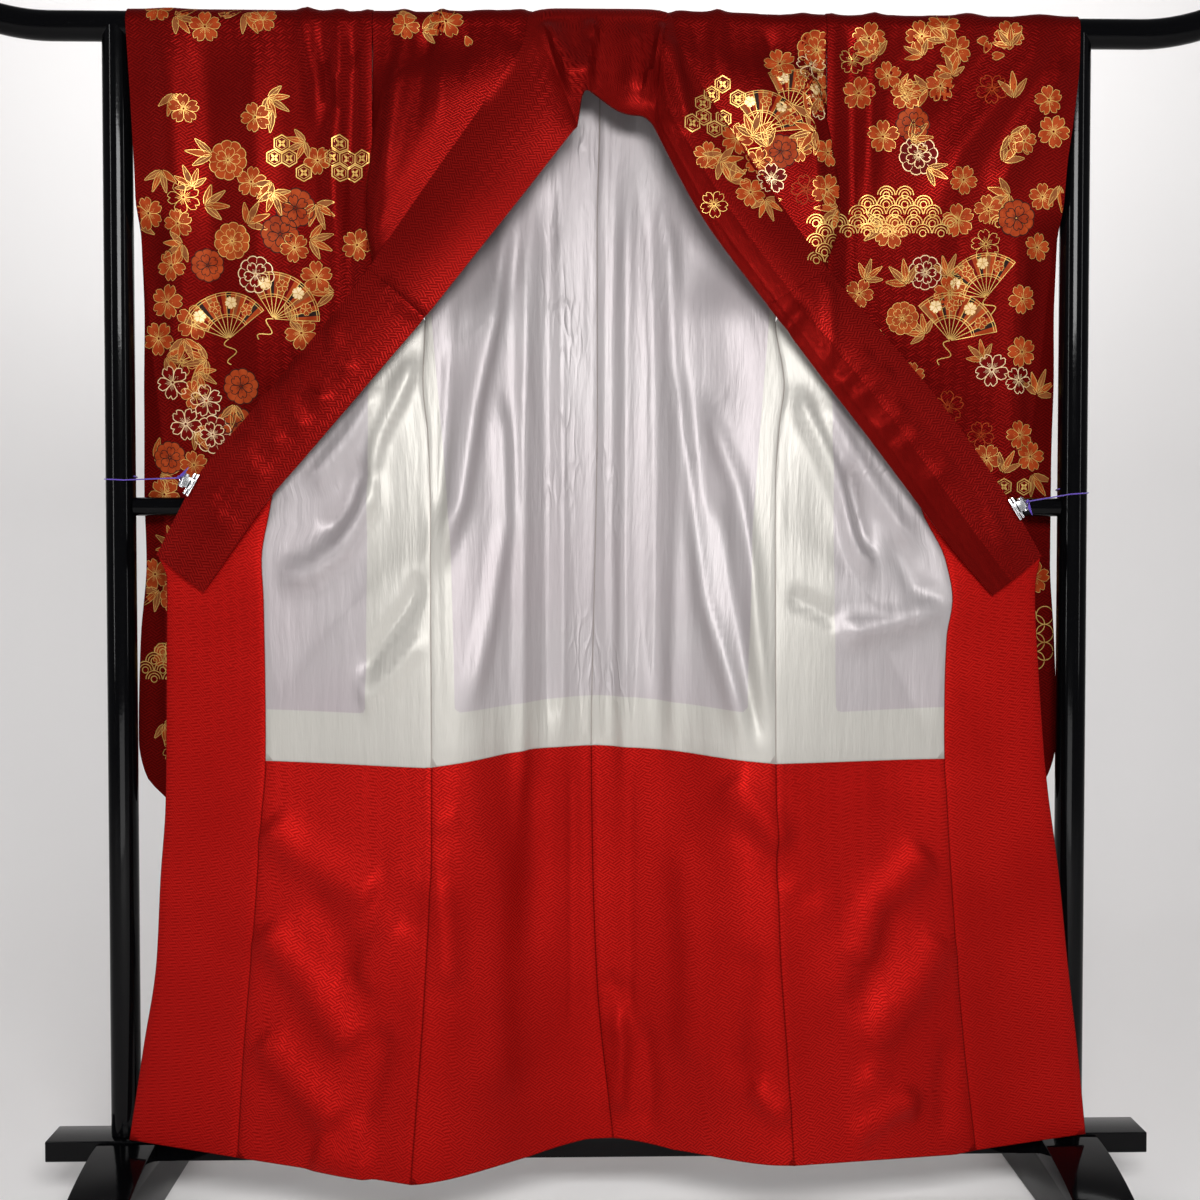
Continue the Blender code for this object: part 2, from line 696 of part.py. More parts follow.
def tube(name, points, radius, resolution, finish, group) -> bpy.types.Object:
    """A round bar or cord along the points."""
    curve = bpy.data.curves.new(name, "CURVE")
    curve.dimensions = "3D"
    curve.bevel_depth = radius
    curve.bevel_resolution = resolution
    curve.use_fill_caps = True
    curve.render_resolution_u = 0
    spline = curve.splines.new("POLY")
    spline.points.add(len(points) - 1)
    for place, point in zip(spline.points, points):
        place.co = (*point, 1.0)
    obj = bpy.data.objects.new(name, curve)
    group.objects.link(obj)
    bpy.context.view_layer.update()
    return as_mesh(obj, name, finish, group)


def outline_block(name, outline, thickness, finish, group) -> bpy.types.Object:
    """A flat closed outline in its own XY plane, extruded to a thickness about that plane."""
    curve = bpy.data.curves.new(name, "CURVE")
    curve.dimensions = "2D"
    curve.fill_mode = "BOTH"
    curve.extrude = thickness / 2
    curve.render_resolution_u = 0
    spline = curve.splines.new("POLY")
    spline.points.add(len(outline) - 1)
    for place, point in zip(spline.points, outline):
        place.co = (point[0], point[1], 0.0, 1.0)
    spline.use_cyclic_u = True
    obj = bpy.data.objects.new(name, curve)
    group.objects.link(obj)
    bpy.context.view_layer.update()
    return as_mesh(obj, name, finish, group)


def cylinder(name, radius, length, sides, finish, group) -> bpy.types.Object:
    """A cylinder along Z, centred on its own origin."""
    mesh = bpy.data.meshes.new(name)
    work = bmesh.new()
    bmesh.ops.create_cone(work, cap_ends=True, segments=sides, radius1=radius, radius2=radius, depth=length)
    work.to_mesh(mesh)
    work.free()
    mesh.shade_smooth()
    mesh.set_sharp_from_angle(angle=math.radians(35))
    if finish is not None:
        mesh.materials.append(finish)
    obj = bpy.data.objects.new(name, mesh)
    group.objects.link(obj)
    return obj


def cut_by(obj, cutter) -> None:
    """Cut one object by another, which is only a guide."""
    cutter.hide_render = True
    cutter.display_type = "WIRE"
    cut = obj.modifiers.new("cut", "BOOLEAN")
    cut.operation = "DIFFERENCE"
    cut.object = cutter


def build_stand(finish, group, cutters) -> None:
    """Top bar with raised tips, two uprights, a rail, and a plank on two arched feet."""
    tips = []
    for k in range(1, 7):
        amount = k / 6
        tips.append((BAR_STRAIGHT_HALF + BAR_TIP_REACH * amount, BAR_HEIGHT + BAR_TIP_RISE * amount ** 2))
    route = [(-x, 0.0, z) for x, z in tips[::-1]]
    route += [(-BAR_STRAIGHT_HALF, 0.0, BAR_HEIGHT), (BAR_STRAIGHT_HALF, 0.0, BAR_HEIGHT)]
    route += [(x, 0.0, z) for x, z in tips]
    tube("top_bar", route, BAR_RADIUS, 8, finish, group)

    bar_cutter = cylinder("bar_cutter", BAR_RADIUS + FIT_GAP, 2.0, 40, None, cutters)
    bar_cutter.rotation_euler = (0.0, math.radians(90), 0.0)
    bar_cutter.location = (0.0, 0.0, BAR_HEIGHT)
    rail = cylinder("middle_rail", RAIL_RADIUS, 2 * UPRIGHT_X - UPRIGHT_RADIUS, 20, finish, group)
    rail.rotation_euler = (0.0, math.radians(90), 0.0)
    rail.location = (0.0, 0.0, RAIL_HEIGHT)
    for side, sign in SIGN.items():
        low, high = PLANK_TOP + FIT_GAP, BAR_HEIGHT
        upright = cylinder(f"upright_{side}", UPRIGHT_RADIUS, high - low, 24, finish, group)
        upright.location = (sign * UPRIGHT_X, 0.0, (low + high) / 2)
        cut_by(upright, bar_cutter)
        cutter = cylinder(f"upright_{side}_cutter", UPRIGHT_RADIUS + FIT_GAP, 0.2, 40, None, cutters)
        cutter.location = (sign * UPRIGHT_X, 0.0, RAIL_HEIGHT)
        cut_by(rail, cutter)

    bpy.ops.mesh.primitive_cube_add(size=1.0, location=(0.0, 0.0, PLANK_TOP - PLANK_THICKNESS / 2))
    plank = bpy.context.active_object
    plank.name = "base_plank"
    plank.data.name = "base_plank"
    plank.data.transform(Matrix.Diagonal((2 * PLANK_HALF_LENGTH, PLANK_DEPTH, PLANK_THICKNESS, 1.0)))
    edge = plank.modifiers.new("edge", "BEVEL")
    edge.width = 0.0015
    edge.segments = 1
    plank.data.materials.append(finish)
    for owner in list(plank.users_collection):
        owner.objects.unlink(plank)
    group.objects.link(plank)

    radius = (FOOT_HALF_LENGTH ** 2 + FOOT_HEIGHT ** 2) / (2 * FOOT_HEIGHT)
    reach = math.asin(FOOT_HALF_LENGTH / radius)
    notch_half = PLANK_DEPTH / 2 + FIT_GAP
    notch_low = PLANK_TOP - PLANK_THICKNESS - FIT_GAP
    outline = []
    for k in range(-9, 10):
        turn = reach * k / 9
        y, z = radius * math.sin(turn), FOOT_HEIGHT - radius * (1.0 - math.cos(turn))
        if abs(y) > notch_half + 0.01:
            outline.append((y, max(z, 0.0)))
    crown = FOOT_HEIGHT - radius + math.sqrt(radius ** 2 - notch_half ** 2)
    middle = sum(1 for y, z in outline if y < 0)
    notch = [(-notch_half, crown), (-notch_half, notch_low), (notch_half, notch_low), (notch_half, crown)]
    outline = outline[:middle] + notch + outline[middle:]
    for side, sign in SIGN.items():
        foot = outline_block(f"foot_{side}", outline, FOOT_WIDTH, finish, group)
        foot.rotation_euler = (math.radians(90), 0.0, math.radians(90))
        foot.location = (sign * FOOT_X, 0.0, 0.0)


def clip_frame(side):
    """Origin, direction along the front edge and direction out of the cloth, at the clip."""
    height = CLIP_HEIGHT[side]
    x, y = collar_seam(side, height)
    above = collar_seam(side, height + 0.012)
    below = collar_seam(side, height - 0.012)
    along = Vector((SIGN[side] * (below[0] - above[0]), 0.0, -0.024)).normalized()
    out = Vector((SIGN[side] * 0.024, 0.0, abs(below[0] - above[0]))).normalized()
    return Vector((SIGN[side] * x, y, height)), along, out


def build_clip(side, finish, group) -> bpy.types.Object:
    """A spring clip's two jaws, closed round a barrel outside the front edge."""
    origin, along, out = clip_frame(side)
    front, back = -CLIP_FRONT, CLIP_BACK
    middle = (front + back) / 2
    outline = [(-CLIP_BITE, back), (-CLIP_BITE, back + CLIP_WALL), (0.003, back + CLIP_WALL)]
    for k in range(7):
        turn = math.radians(110 - 220 * k / 6)
        outline.append((CLIP_BARREL_OUT + CLIP_BARREL_RADIUS * math.cos(turn),
                        middle + CLIP_BARREL_RADIUS * math.sin(turn)))
    outline += [(0.003, front - CLIP_WALL), (-CLIP_BITE, front - CLIP_WALL), (-CLIP_BITE, front)]
    outline += [(0.0025, front), (0.006, middle - 0.001), (0.006, middle + 0.001), (0.0025, back)]
    clip = outline_block(f"clip_{side}", outline, CLIP_WIDTH, finish, group)
    frame = np.eye(4)
    depth = Vector((0.0, 1.0, 0.0))
    third = out.cross(depth)
    for column, axis in enumerate((out, depth, third)):
        frame[:3, column] = axis
    frame[:3, 3] = origin
    clip.matrix_world = Matrix(frame.tolist())
    return clip


def cord_route(side):
    """From the clip's barrel across to the upright, then once round it."""
    origin, along, out = clip_frame(side)
    start = origin + out * (CLIP_BARREL_OUT + CLIP_BARREL_RADIUS + CORD_RADIUS + FIT_GAP)
    start.y += (CLIP_BACK - CLIP_FRONT) / 2
    around = UPRIGHT_RADIUS + CORD_RADIUS + FIT_GAP * 2
    sign = SIGN[side]
    points = []
    turns = 15
    meet = Vector((sign * UPRIGHT_X - sign * around * math.sin(math.radians(25)),
                   -around * math.cos(math.radians(25)), start.z + CORD_LIFT[side]))
    for k in range(4):
        points.append(start.lerp(meet, k / 4))
    for k in range(turns + 1):
        turn = math.radians(-25 + 315 * k / turns)
        rise = CORD_RISE[side] * k / turns
        points.append(Vector((sign * (UPRIGHT_X + around * math.sin(turn)), -around * math.cos(turn),
                              meet.z + rise)))
    return [tuple(p) for p in points]


def build_garment(silk, white, red, group) -> None:
    """The furisode: body, okumi, sleeves, linings and collar."""
    for side in SIGN:
        for panel in ("back", "front"):
            body_piece(side, panel, silk, group)
            sleeve_piece(side, panel == "back", silk, group)
        okumi_piece(side, silk, group)
        low = WHITE_LOW - SEAM_GAP
        for panel in ("back", "front"):
            name = f"lining_{side}_{panel}"
            lining_piece(side, panel, name, WHITE_TOP[panel], WHITE_LOW, white, group)
            lining_piece(side, panel, f"hem_{name}", low, HEM, red, group)
        lining_piece(side, "okumi", f"hem_lining_{side}_okumi", OKUMI_LINING_TOP, HEM, red, group)
    collar_piece("collar", 0.0, CLOTH, None, silk, group)
    near = CLOTH + LAYER_GAP
    collar_piece("over_collar", near, near + OVER_COLLAR, OVER_COLLAR_SECTIONS, silk, group)


def main() -> None:
    """Build the stand, the furisode, and the clips and cords that hold it open."""
    clear_scene()
    group = collection("furisode_on_stand")
    cutters = collection("cutters")
    lacquer = material("black_lacquer", (0.006, 0.006, 0.007), 0.12)
    silk = material("crimson_silk", (0.32, 0.010, 0.010), 0.42)
    white = material("white_satin", (0.72, 0.68, 0.70), 0.35)
    red = material("red_silk", (0.50, 0.012, 0.010), 0.40)
    steel = material("bright_steel", (0.75, 0.75, 0.76), 0.15, 1.0)
    purple = material("purple_cord", (0.06, 0.02, 0.30), 0.7)
    build_stand(lacquer, group, cutters)
    build_garment(silk, white, red, group)
    for side in SIGN:
        build_clip(side, steel, group)
        tube(f"clip_cord_{side}", cord_route(side), CORD_RADIUS, 2, purple, group)


main()
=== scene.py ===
"""Looks of a furisode hung open on a lacquered kimono stand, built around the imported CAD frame.

Metres, +Z up, the front towards -Y. A height and a distance from the middle place every seam; x is
measured outwards from the middle until a point is put in the world.
"""

import logging
import math
import random
from dataclasses import dataclass, field
from enum import Enum

import bmesh
import bpy
import numpy as np
from mathutils import Matrix, Vector
from mathutils.bvhtree import BVHTree


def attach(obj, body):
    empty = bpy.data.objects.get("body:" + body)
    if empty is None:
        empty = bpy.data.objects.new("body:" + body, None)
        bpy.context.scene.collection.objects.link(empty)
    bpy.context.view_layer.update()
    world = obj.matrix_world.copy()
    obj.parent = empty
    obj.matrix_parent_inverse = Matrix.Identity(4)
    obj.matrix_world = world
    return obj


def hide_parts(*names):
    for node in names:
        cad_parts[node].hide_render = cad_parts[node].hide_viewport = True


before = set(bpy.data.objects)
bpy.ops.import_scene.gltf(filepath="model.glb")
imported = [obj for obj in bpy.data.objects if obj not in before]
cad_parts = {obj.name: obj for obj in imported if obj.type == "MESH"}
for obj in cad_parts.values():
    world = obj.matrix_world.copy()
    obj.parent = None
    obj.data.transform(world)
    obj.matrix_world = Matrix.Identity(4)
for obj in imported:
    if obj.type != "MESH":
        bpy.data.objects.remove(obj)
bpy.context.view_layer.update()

log = logging.getLogger("furisode")

Rows = tuple[tuple[float, ...], ...]
Colour = tuple[float, float, float]


def table(text: str) -> Rows:
    """Read a table in whole tenths of a millimetre, its rows parted by semicolons.

    Args:
        text: the table.

    Returns:
        Its rows in metres.
    """
    return tuple(tuple(int(word) / 10000 for word in row.split()) for row in text.split(";"))


# Stand
BAR_RADIUS = 0.0205
BAR_HEIGHT = 1.657
UPRIGHT_X = 0.672
UPRIGHT_RADIUS = 0.0205

# The silk's and the lining's thickness, the gap between them, the radius of the silk over the bar, and the
# angle in degrees above which an edge of cloth stays sharp
CLOTH = 0.0016
LINING = 0.0012
LAYER_GAP = 0.0004
BAR_CLOTH_RADIUS = 0.0216
SHARP_CLOTH = 50.0

# The neck: where the back begins, how far the cloth rises beside it, and where the front begins at each
# angle in degrees from the bar's crown
NECK_INNER = 0.0002
NECK_GATHER = 0.0042
NECK_FRONT: Rows = ((0.0, 0.088), (30.0, 0.094), (60.0, 0.098), (90.0, 0.100))
# The armhole's distance from the middle, the front's slack, then the heights of hem, folds and linings
SHOULDER = 0.3150
FRONT_SLACK = 0.012
TOP = BAR_HEIGHT
HEM = 0.106
HEM_FADE_HEIGHT = 0.60
JOIN_HEIGHT = 1.244
FOLD_LOW = 1.3126
WHITE_LOW = 0.65
WHITE_TOP_BACK = 1.61
WHITE_TOP_FRONT = 1.28
OKUMI_LINING_TOP = 1.032
COLLAR_TUCK = 0.0028

# Lines of the body: height, distance from the middle, depth
CENTRE_LINE = table("""16570 0 216; 15600 0 160; 13800 -40 20; 11400 -40 -130; 9900 -60 -205; 8600 -90 -270;
    6570 -130 -350; 4850 -110 -400; 3250 -50 -450; 1060 170 -550""")
SIDE_LINES = {
    "left": table("""16570 3150 216; 15500 3150 200; 14300 3130 120; 13400 2850 -100; 12440 2420 -400;
        11580 2440 -500; 10790 2360 -600; 9700 2320 -750; 8600 2310 -900; 6370 2275 -1200; 5300 2270 -1300;
        3550 2350 -1450; 1060 2530 -1600"""),
    "right": table("""16570 3150 216; 15500 3150 200; 14300 3130 120; 13400 2850 -100; 12440 2420 -400;
        11590 2530 -500; 11060 2460 -570; 10270 2390 -690; 8650 2360 -900; 6390 2340 -1150; 4000 2380 -1300;
        2480 2470 -1400; 1060 2550 -1500"""),
}
OKUMI_SEAMS = {
    "left": table("""12440 3630 -560; 11800 3970 -545; 11000 4290 -520; 9840 4540 -500; 9150 4646 -550;
        8600 4612 -600; 6440 4567 -750; 5700 4616 -800; 4190 4716 -850; 2630 4844 -900; 1060 4937 -950"""),
    "right": table("""12440 3630 -560; 11800 3960 -545; 11000 4220 -520; 9860 4440 -500; 9150 4766 -550;
        8600 4854 -600; 8070 4774 -600; 6400 4731 -700; 5970 4749 -750; 4110 4872 -750; 2510 5014 -750;
        1060 5199 -700"""),
}
# The collar's seam: height, distance from the middle, depth of the collar's back face
COLLAR_SEAMS = {
    "left": table("""16195 1082 -350; 15330 1658 -400; 14482 2241 -480; 13939 2606 -530; 13126 3161 -575;
        12038 4035 -590; 11140 4786 -590; 10322 5483 -590; 9770 5790 -570; 9218 6075 -550"""),
    "right": table("""16185 1096 -350; 15801 1314 -380; 14971 1849 -430; 14114 2410 -510; 13126 3110 -575;
        12378 3766 -590; 11586 4461 -590; 10804 5062 -590; 9978 5637 -590; 9205 6105 -550"""),
}
# The okumi's free front edge, below the collar's end
OKUMI_EDGES = {
    "left": table("""8900 5950 -510; 7720 5964 -500; 5800 5993 -500; 4740 6070 -500; 3580 6134 -500;
        2370 6322 -500; 1060 6525 -500"""),
    "right": table("""8760 6040 -500; 7660 6107 -450; 6020 6247 -450; 4680 6428 -450; 3530 6550 -450;
        2260 6703 -450; 1060 6827 -450"""),
}
# The open front above the overlap: height, then the distance and depth of five knots from armhole to collar
FRONT_FOLDS = table("""16570 3150 -216 2620 -216 2080 -216 1550 -216 1000 -216;
    16200 3142 -218 2750 -240 2250 -260 1650 -292 1080 -305;
    15700 3140 -222 3020 -310 2750 -410 2000 -420 1410 -360;
    15200 3140 -225 3090 -320 2960 -430 2350 -470 1748 -387;
    14700 3140 -228 3140 -340 3090 -450 2620 -510 2091 -437;
    14200 3110 -240 3185 -340 3180 -450 2860 -540 2431 -484;
    13700 2980 -280 3120 -350 3200 -450 3040 -550 2769 -521;
    13400 2860 -310 3030 -350 3145 -420 3090 -500 2974 -538;
    13126 2720 -330 2880 -360 3030 -400 3130 -465 3161 -553""")
RIGHT_FOLD_OUT = 0.010

# Sleeve: its inner edge and its bottom, then a height and the outer edge's distance from the middle
SLEEVE_INNER = 0.3154
SLEEVE_LOW = 0.567
SLEEVE_OUTER = {
    "left": table("""16570 6540; 15500 6478; 14140 6420; 12770 6405; 11400 6459; 10140 6484; 9150 6464;
        8000 6558; 6580 6599; 6080 6503; 5670 6150"""),
    "right": table("""16570 6706; 16140 6697; 15310 6619; 14630 6529; 13790 6480; 12820 6476; 11420 6521;
        10440 6520; 9150 6520; 8000 6590; 6580 6640; 6080 6540; 5670 6180"""),
}
# Height, depth of the middle between the two layers, half the space between them
SLEEVE_DEPTH = table("""16570 0 216; 14300 0 224; 12500 150 190; 10500 330 120; 5670 360 90""")
# How far from its seams the sleeve opens, and half the space left in them
SLEEVE_PINCH = 0.080
SLEEVE_SEAM_HALF = 0.0002

# The collar: its radius over the bar, its columns and how many of them hang inside, and how far it bulges
COLLAR_RADIUS = 0.0243
COLLAR_COLUMNS = 7
COLLAR_HANGING = 3
COLLAR_CROWN = 0.004
# A section each: the neck seam's distance from the middle and angle behind the bar's front,
# the free edge's distance from the middle, depth and height
NECK_SECTIONS = (
    (-0.1000, 30.0, -0.0320, -0.0500, 1.5080),
    (-0.0940, 55.0, -0.0300, -0.0500, 1.5180),
    (-0.0850, 80.0, -0.0280, -0.0490, 1.5300),
    (-0.0560, 96.0, -0.0240, -0.0480, 1.5600),
    (-0.0180, 96.0, -0.0080, -0.0470, 1.5520),
    (0.0180, 96.0, 0.0190, -0.0470, 1.5320),
    (0.0560, 96.0, 0.0420, -0.0480, 1.5240),
    (0.0850, 80.0, 0.0560, -0.0490, 1.5240),
    (0.0940, 55.0, 0.0620, -0.0500, 1.5240),
    (0.1000, 30.0, 0.0700, -0.0510, 1.5120),
)
# Below the neck: seam height, then the free edge's distance from the middle, depth and height
COLLAR_SECTIONS = {
    "left": table("""16195 400 -530 14990; 15600 790 -580 14480; 15000 1180 -630 13970;
        14400 1570 -680 13470; 13700 2010 -725 12905; 13126 2388 -750 12427; 12550 2780 -770 11970;
        12000 3190 -775 11490; 11400 3650 -765 10960; 10800 4130 -740 10410; 10322 4530 -710 9960;
        9770 5000 -670 9310; 9218 5427 -620 8713"""),
    "right": table("""16185 790 -530 14950; 15600 1020 -580 14480; 15000 1290 -630 13970;
        14400 1580 -680 13520; 13700 1960 -725 13010; 13126 2270 -750 12606; 12550 2690 -770 12050;
        12000 3110 -775 11500; 11400 3570 -765 10920; 10800 4050 -740 10300; 10322 4430 -710 9810;
        9770 4880 -670 9250; 9205 5405 -620 8659"""),
}
# How many sections the over-collar reaches below the neck
OVER_COLLAR_SECTIONS = 6

# The clips' height and width, their jaws' reach before and behind the cloth, and their spring's barrel
CLIP_HEIGHT = {"left": 1.017, "right": 0.985}
CLIP_WIDTH = 0.033
CLIP_HALF = CLIP_WIDTH / 2
CLIP_FRONT = 0.0052
CLIP_BACK = 0.0062
CLIP_MIDDLE = (CLIP_BACK - CLIP_FRONT) / 2
CLIP_NEAR = -CLIP_FRONT - 0.0012
CLIP_BARREL_OUT = 0.014
CLIP_BARREL_RADIUS = 0.0055
# Jaws, bridge, ears and barrel on the clip's axes, out, depth and across: two corners and the edges' radius
CLIP_BLOCKS = (
    ((-0.0026, -CLIP_FRONT - 0.0022, -CLIP_HALF), (0.0008, -CLIP_FRONT, CLIP_HALF), 0.0005),
    ((-0.0026, CLIP_BACK, -CLIP_HALF), (0.0008, CLIP_BACK + 0.0018, CLIP_HALF), 0.0005),
    ((0.0026, CLIP_NEAR, -CLIP_HALF * 0.97), (0.0056, CLIP_BACK + 0.0006, CLIP_HALF * 0.97), 0.0006),
    ((0.0, CLIP_NEAR, -CLIP_HALF * 0.45), (0.0150, CLIP_NEAR + 0.0010, CLIP_HALF * 0.45), 0.0004),
    ((0.0, CLIP_BACK, -CLIP_HALF * 0.45), (0.0150, CLIP_BACK + 0.0010, CLIP_HALF * 0.45), 0.0004),
    ((0.0050, -CLIP_FRONT, -CLIP_HALF * 0.38), (0.0120, CLIP_BACK, CLIP_HALF * 0.38), 0.0016),
)
# How far the strings rise from clip to upright, and how far on their way round it
CORD_LIFT = {"left": -0.001, "right": 0.012}
CORD_RISE = {"left": 0.006, "right": 0.008}

# The back's vertical folds
FOLD_WAVES = 2.0
FOLD_DEPTH = 0.006

# How deep a crease may press into what lies behind the cloth: at the bar, and more further down
PRESS_TOP = 0.0008
PRESS_LOW = 0.02

# Where each cloth's cut starts in the weave, across
CUT_FRONT = 0.5
CUT_OKUMI = 1.1
CUT_SLEEVE_FRONT = 2.0
CUT_COLLAR = 3.0
CUT_OVER_COLLAR = 3.3

# The white lining's doubled parts: height and distance from the middle of the strip's edge,
# then distance from the middle and height of the band's top
STRIP_EDGE = ((0.65, 0.196), (0.80, 0.200), (0.95, 0.205), (1.28, 0.236))
BAND_TOP = ((0.0, 0.727), (0.05, 0.725), (0.235, 0.706), (0.46, 0.712))

# Distances from the middle, and how far the hem and the white lining's low edge stand above their mean
HEM_PLACES = (0.02, 0.10, 0.25, 0.49, 0.68)
HEM_RISE = {"left": (0.005, -0.006, -0.014, -0.002, 0.008), "right": (0.005, -0.004, 0.003, -0.013, 0.001)}
WHITE_PLACES = (0.0, 0.10, 0.235, 0.47)
WHITE_RISE = {"left": (0.007, 0.005, -0.013, -0.008), "right": (0.007, 0.003, -0.0095, -0.009)}


class Side(Enum):
    """The garment's two halves, named from the camera."""

    LEFT = "left"
    RIGHT = "right"

    @property
    def sign(self) -> float:
        """The direction of this side along X."""
        return -1.0 if self is Side.LEFT else 1.0


class Dye(Enum):
    """The colours of the prints, in the order of their material slots."""

    ORANGE = 0
    GOLD = 1
    BLACK = 2
    RED = 3
    WHITE = 4
    DULL = 5
    GREEN = 6


class Motif(Enum):
    """The kinds of printed ornament."""

    BLOSSOM = "blossom"
    OUTLINE = "outline"
    DOUBLE = "double"
    LEAVES = "leaves"
    PETAL = "petal"
    HEXAGON = "hexagon"
    WAVES = "waves"
    FAN = "fan"
    RINGS = "rings"


class Pen(float, Enum):
    """The widths of the prints' lines, in metres."""

    FINE = 0.0004
    THIN = 0.0005
    LIGHT = 0.0006
    PLAIN = 0.0007
    EVEN = 0.0008
    FIRM = 0.0009
    STRONG = 0.0011
    FULL = 0.0012
    BROAD = 0.0013


def smooth_step(value: np.ndarray | float) -> np.ndarray:
    """Go from 0 to 1 with level ends.

    Args:
        value: the amounts, also outside 0 to 1.

    Returns:
        The eased amounts.
    """
    value = np.clip(value, 0.0, 1.0)
    return value * value * (3.0 - 2.0 * value)


def at_heights(rows: Rows, heights: np.ndarray) -> np.ndarray:
    """Read a table that runs downwards along a smooth curve without overshoot.

    Args:
        rows: the table, height first.
        heights: the heights wanted.

    Returns:
        One row of the other columns for each height.
    """
    known = np.array(sorted(rows), float)
    level, value = known[:, 0], known[:, 1:]
    heights = np.clip(heights, level[0], level[-1])
    step = np.diff(level)
    slope = np.diff(value, axis=0) / step[:, None]
    tangent = np.zeros_like(value)
    tangent[0], tangent[-1] = slope[0], slope[-1]
    low, high = slope[:-1], slope[1:]
    same = low * high > 0
    wide, narrow = (2 * step[1:] + step[:-1])[:, None], (step[1:] + 2 * step[:-1])[:, None]
    safe_low, safe_high = np.where(same, low, 1.0), np.where(same, high, 1.0)
    tangent[1:-1] = np.where(same, (wide + narrow) / (wide / safe_low + narrow / safe_high), 0.0)
    k = np.clip(np.searchsorted(level, heights) - 1, 0, len(level) - 2)
    f, h = ((heights - level[k]) / step[k])[:, None], step[k][:, None]
    return ((1 + 2 * f) * (1 - f) ** 2 * value[k] + f * (1 - f) ** 2 * h * tangent[k]
            + f * f * (3 - 2 * f) * value[k + 1] + f * f * (f - 1) * h * tangent[k + 1])


def through(knots: np.ndarray, amounts: np.ndarray) -> np.ndarray:
    """Follow a smooth curve through knots.

    Args:
        knots: the knots along the second last axis.
        amounts: the places wanted, 0 at the first knot and 1 at the last.

    Returns:
        The points at those places, along the second last axis.
    """
    count = knots.shape[-2]
    first = 2 * knots[..., :1, :] - knots[..., 1:2, :]
    last = 2 * knots[..., -1:, :] - knots[..., -2:-1, :]
    padded = np.concatenate([first, knots, last], axis=-2)
    at = np.clip(amounts, 0.0, 1.0) * (count - 1)
    k = np.minimum(at.astype(int), count - 2)
    f = (at - k)[:, None]
    a, b, c, d = (padded[..., k + n, :] for n in range(4))
    return 0.5 * (2 * b + (c - a) * f + (2 * a - 5 * b + 4 * c - d) * f * f
                  + (3 * b - a - 3 * c + d) * f ** 3)


def columns_between(count: int) -> np.ndarray:
    """Even places from 0 to 1 with the outermost cells narrow, so that an edge can round over.

    Args:
        count: how many cells.

    Returns:
        The places.
    """
    way = np.linspace(0.0, 1.0, count + 1)
    way[1] *= 0.25
    way[-2] = 1.0 - way[1]
    return way


def seam_round(inset: np.ndarray, width: float) -> np.ndarray:
    """Rise from 0 at a seam to 1 at a width from it along a quarter circle.

    Args:
        inset: distances from the seam.
        width: where the cloth is level again.

    Returns:
        The rise at each place.
    """
    left = 1.0 - np.clip(inset / width, 0.0, 1.0)
    return np.sqrt(1.0 - left * left)


def cumulative(points: np.ndarray, axis: int) -> np.ndarray:
    """Measure how far each point of a grid lies along one axis of the cloth.

    Args:
        points: the grid, rows by columns by 3.
        axis: 0 down the rows, 1 across them.

    Returns:
        The distances, rows by columns.
    """
    steps = np.linalg.norm(np.diff(points, axis=axis), axis=2)
    start = np.zeros_like(np.take(steps, [0], axis=axis))
    return np.concatenate([start, np.cumsum(steps, axis=axis)], axis=axis)


@dataclass(frozen=True)
class Crease:
    """A ridge in a cloth, or a trough where its height is negative, that fades out at its ends."""

    line: tuple[tuple[float, float], ...]
    width: float
    height: float
    lean: float = 0.0
    fade: float = 0.18

    def lift(self, x: np.ndarray, z: np.ndarray) -> np.ndarray:
        """Say how far the crease stands proud at places seen from the front.

        Args:
            x: distances along X in the world.
            z: heights.

        Returns:
            The lift at each place.
        """
        line = np.array(self.line, float)
        lengths = np.linalg.norm(np.diff(line, axis=0), axis=1)
        total, walked = lengths.sum(), 0.0
        nearest = np.full(x.shape, 9.0)
        along, side = np.zeros(x.shape), np.ones(x.shape)
        for (ax, az), (bx, bz), length in zip(line[:-1], line[1:], lengths):
            dx, dz = (bx - ax) / length, (bz - az) / length
            t = np.clip((x - ax) * dx + (z - az) * dz, 0.0, length)
            gap = np.hypot(x - ax - dx * t, z - az - dz * t)
            closer = gap < nearest
            nearest = np.where(closer, gap, nearest)
            along = np.where(closer, (walked + t) / total, along)
            side = np.where(closer, np.sign((x - ax) * dz - (z - az) * dx), side)
            walked += length
        width = self.width * (1.0 + self.lean * side)
        ends = smooth_step(along / self.fade) * smooth_step((1.0 - along) / self.fade)
        return self.height * np.exp(-((nearest / width) ** 2)) * ends


def creases(text: str) -> tuple[Crease, ...]:
    """Read creases, one a line.

    Args:
        text: for each its points as x,z in whole millimetres, then its width and height in tenths of a
            millimetre, and where they aren't the usual ones its lean and fade in hundredths.

    Returns:
        The creases.
    """
    found = []
    for row in text.strip().split("\n"):
        words = row.split()
        line = tuple(tuple(int(part) / 1000 for part in word.split(",")) for word in words if "," in word)
        width, height, *rest = (int(word) for word in words if "," not in word)
        found.append(Crease(line, width / 10000, height / 10000, *(part / 100 for part in rest)))
    return tuple(found)


def relief(ridges: tuple[Crease, ...], x: np.ndarray, z: np.ndarray) -> np.ndarray:
    """Add up the creases at places seen from the front.

    Args:
        ridges: the creases.
        x: distances along X in the world.
        z: heights.

    Returns:
        The summed lift.
    """
    total = np.zeros(x.shape)
    for crease in ridges:
        total += crease.lift(x, z)
    return total


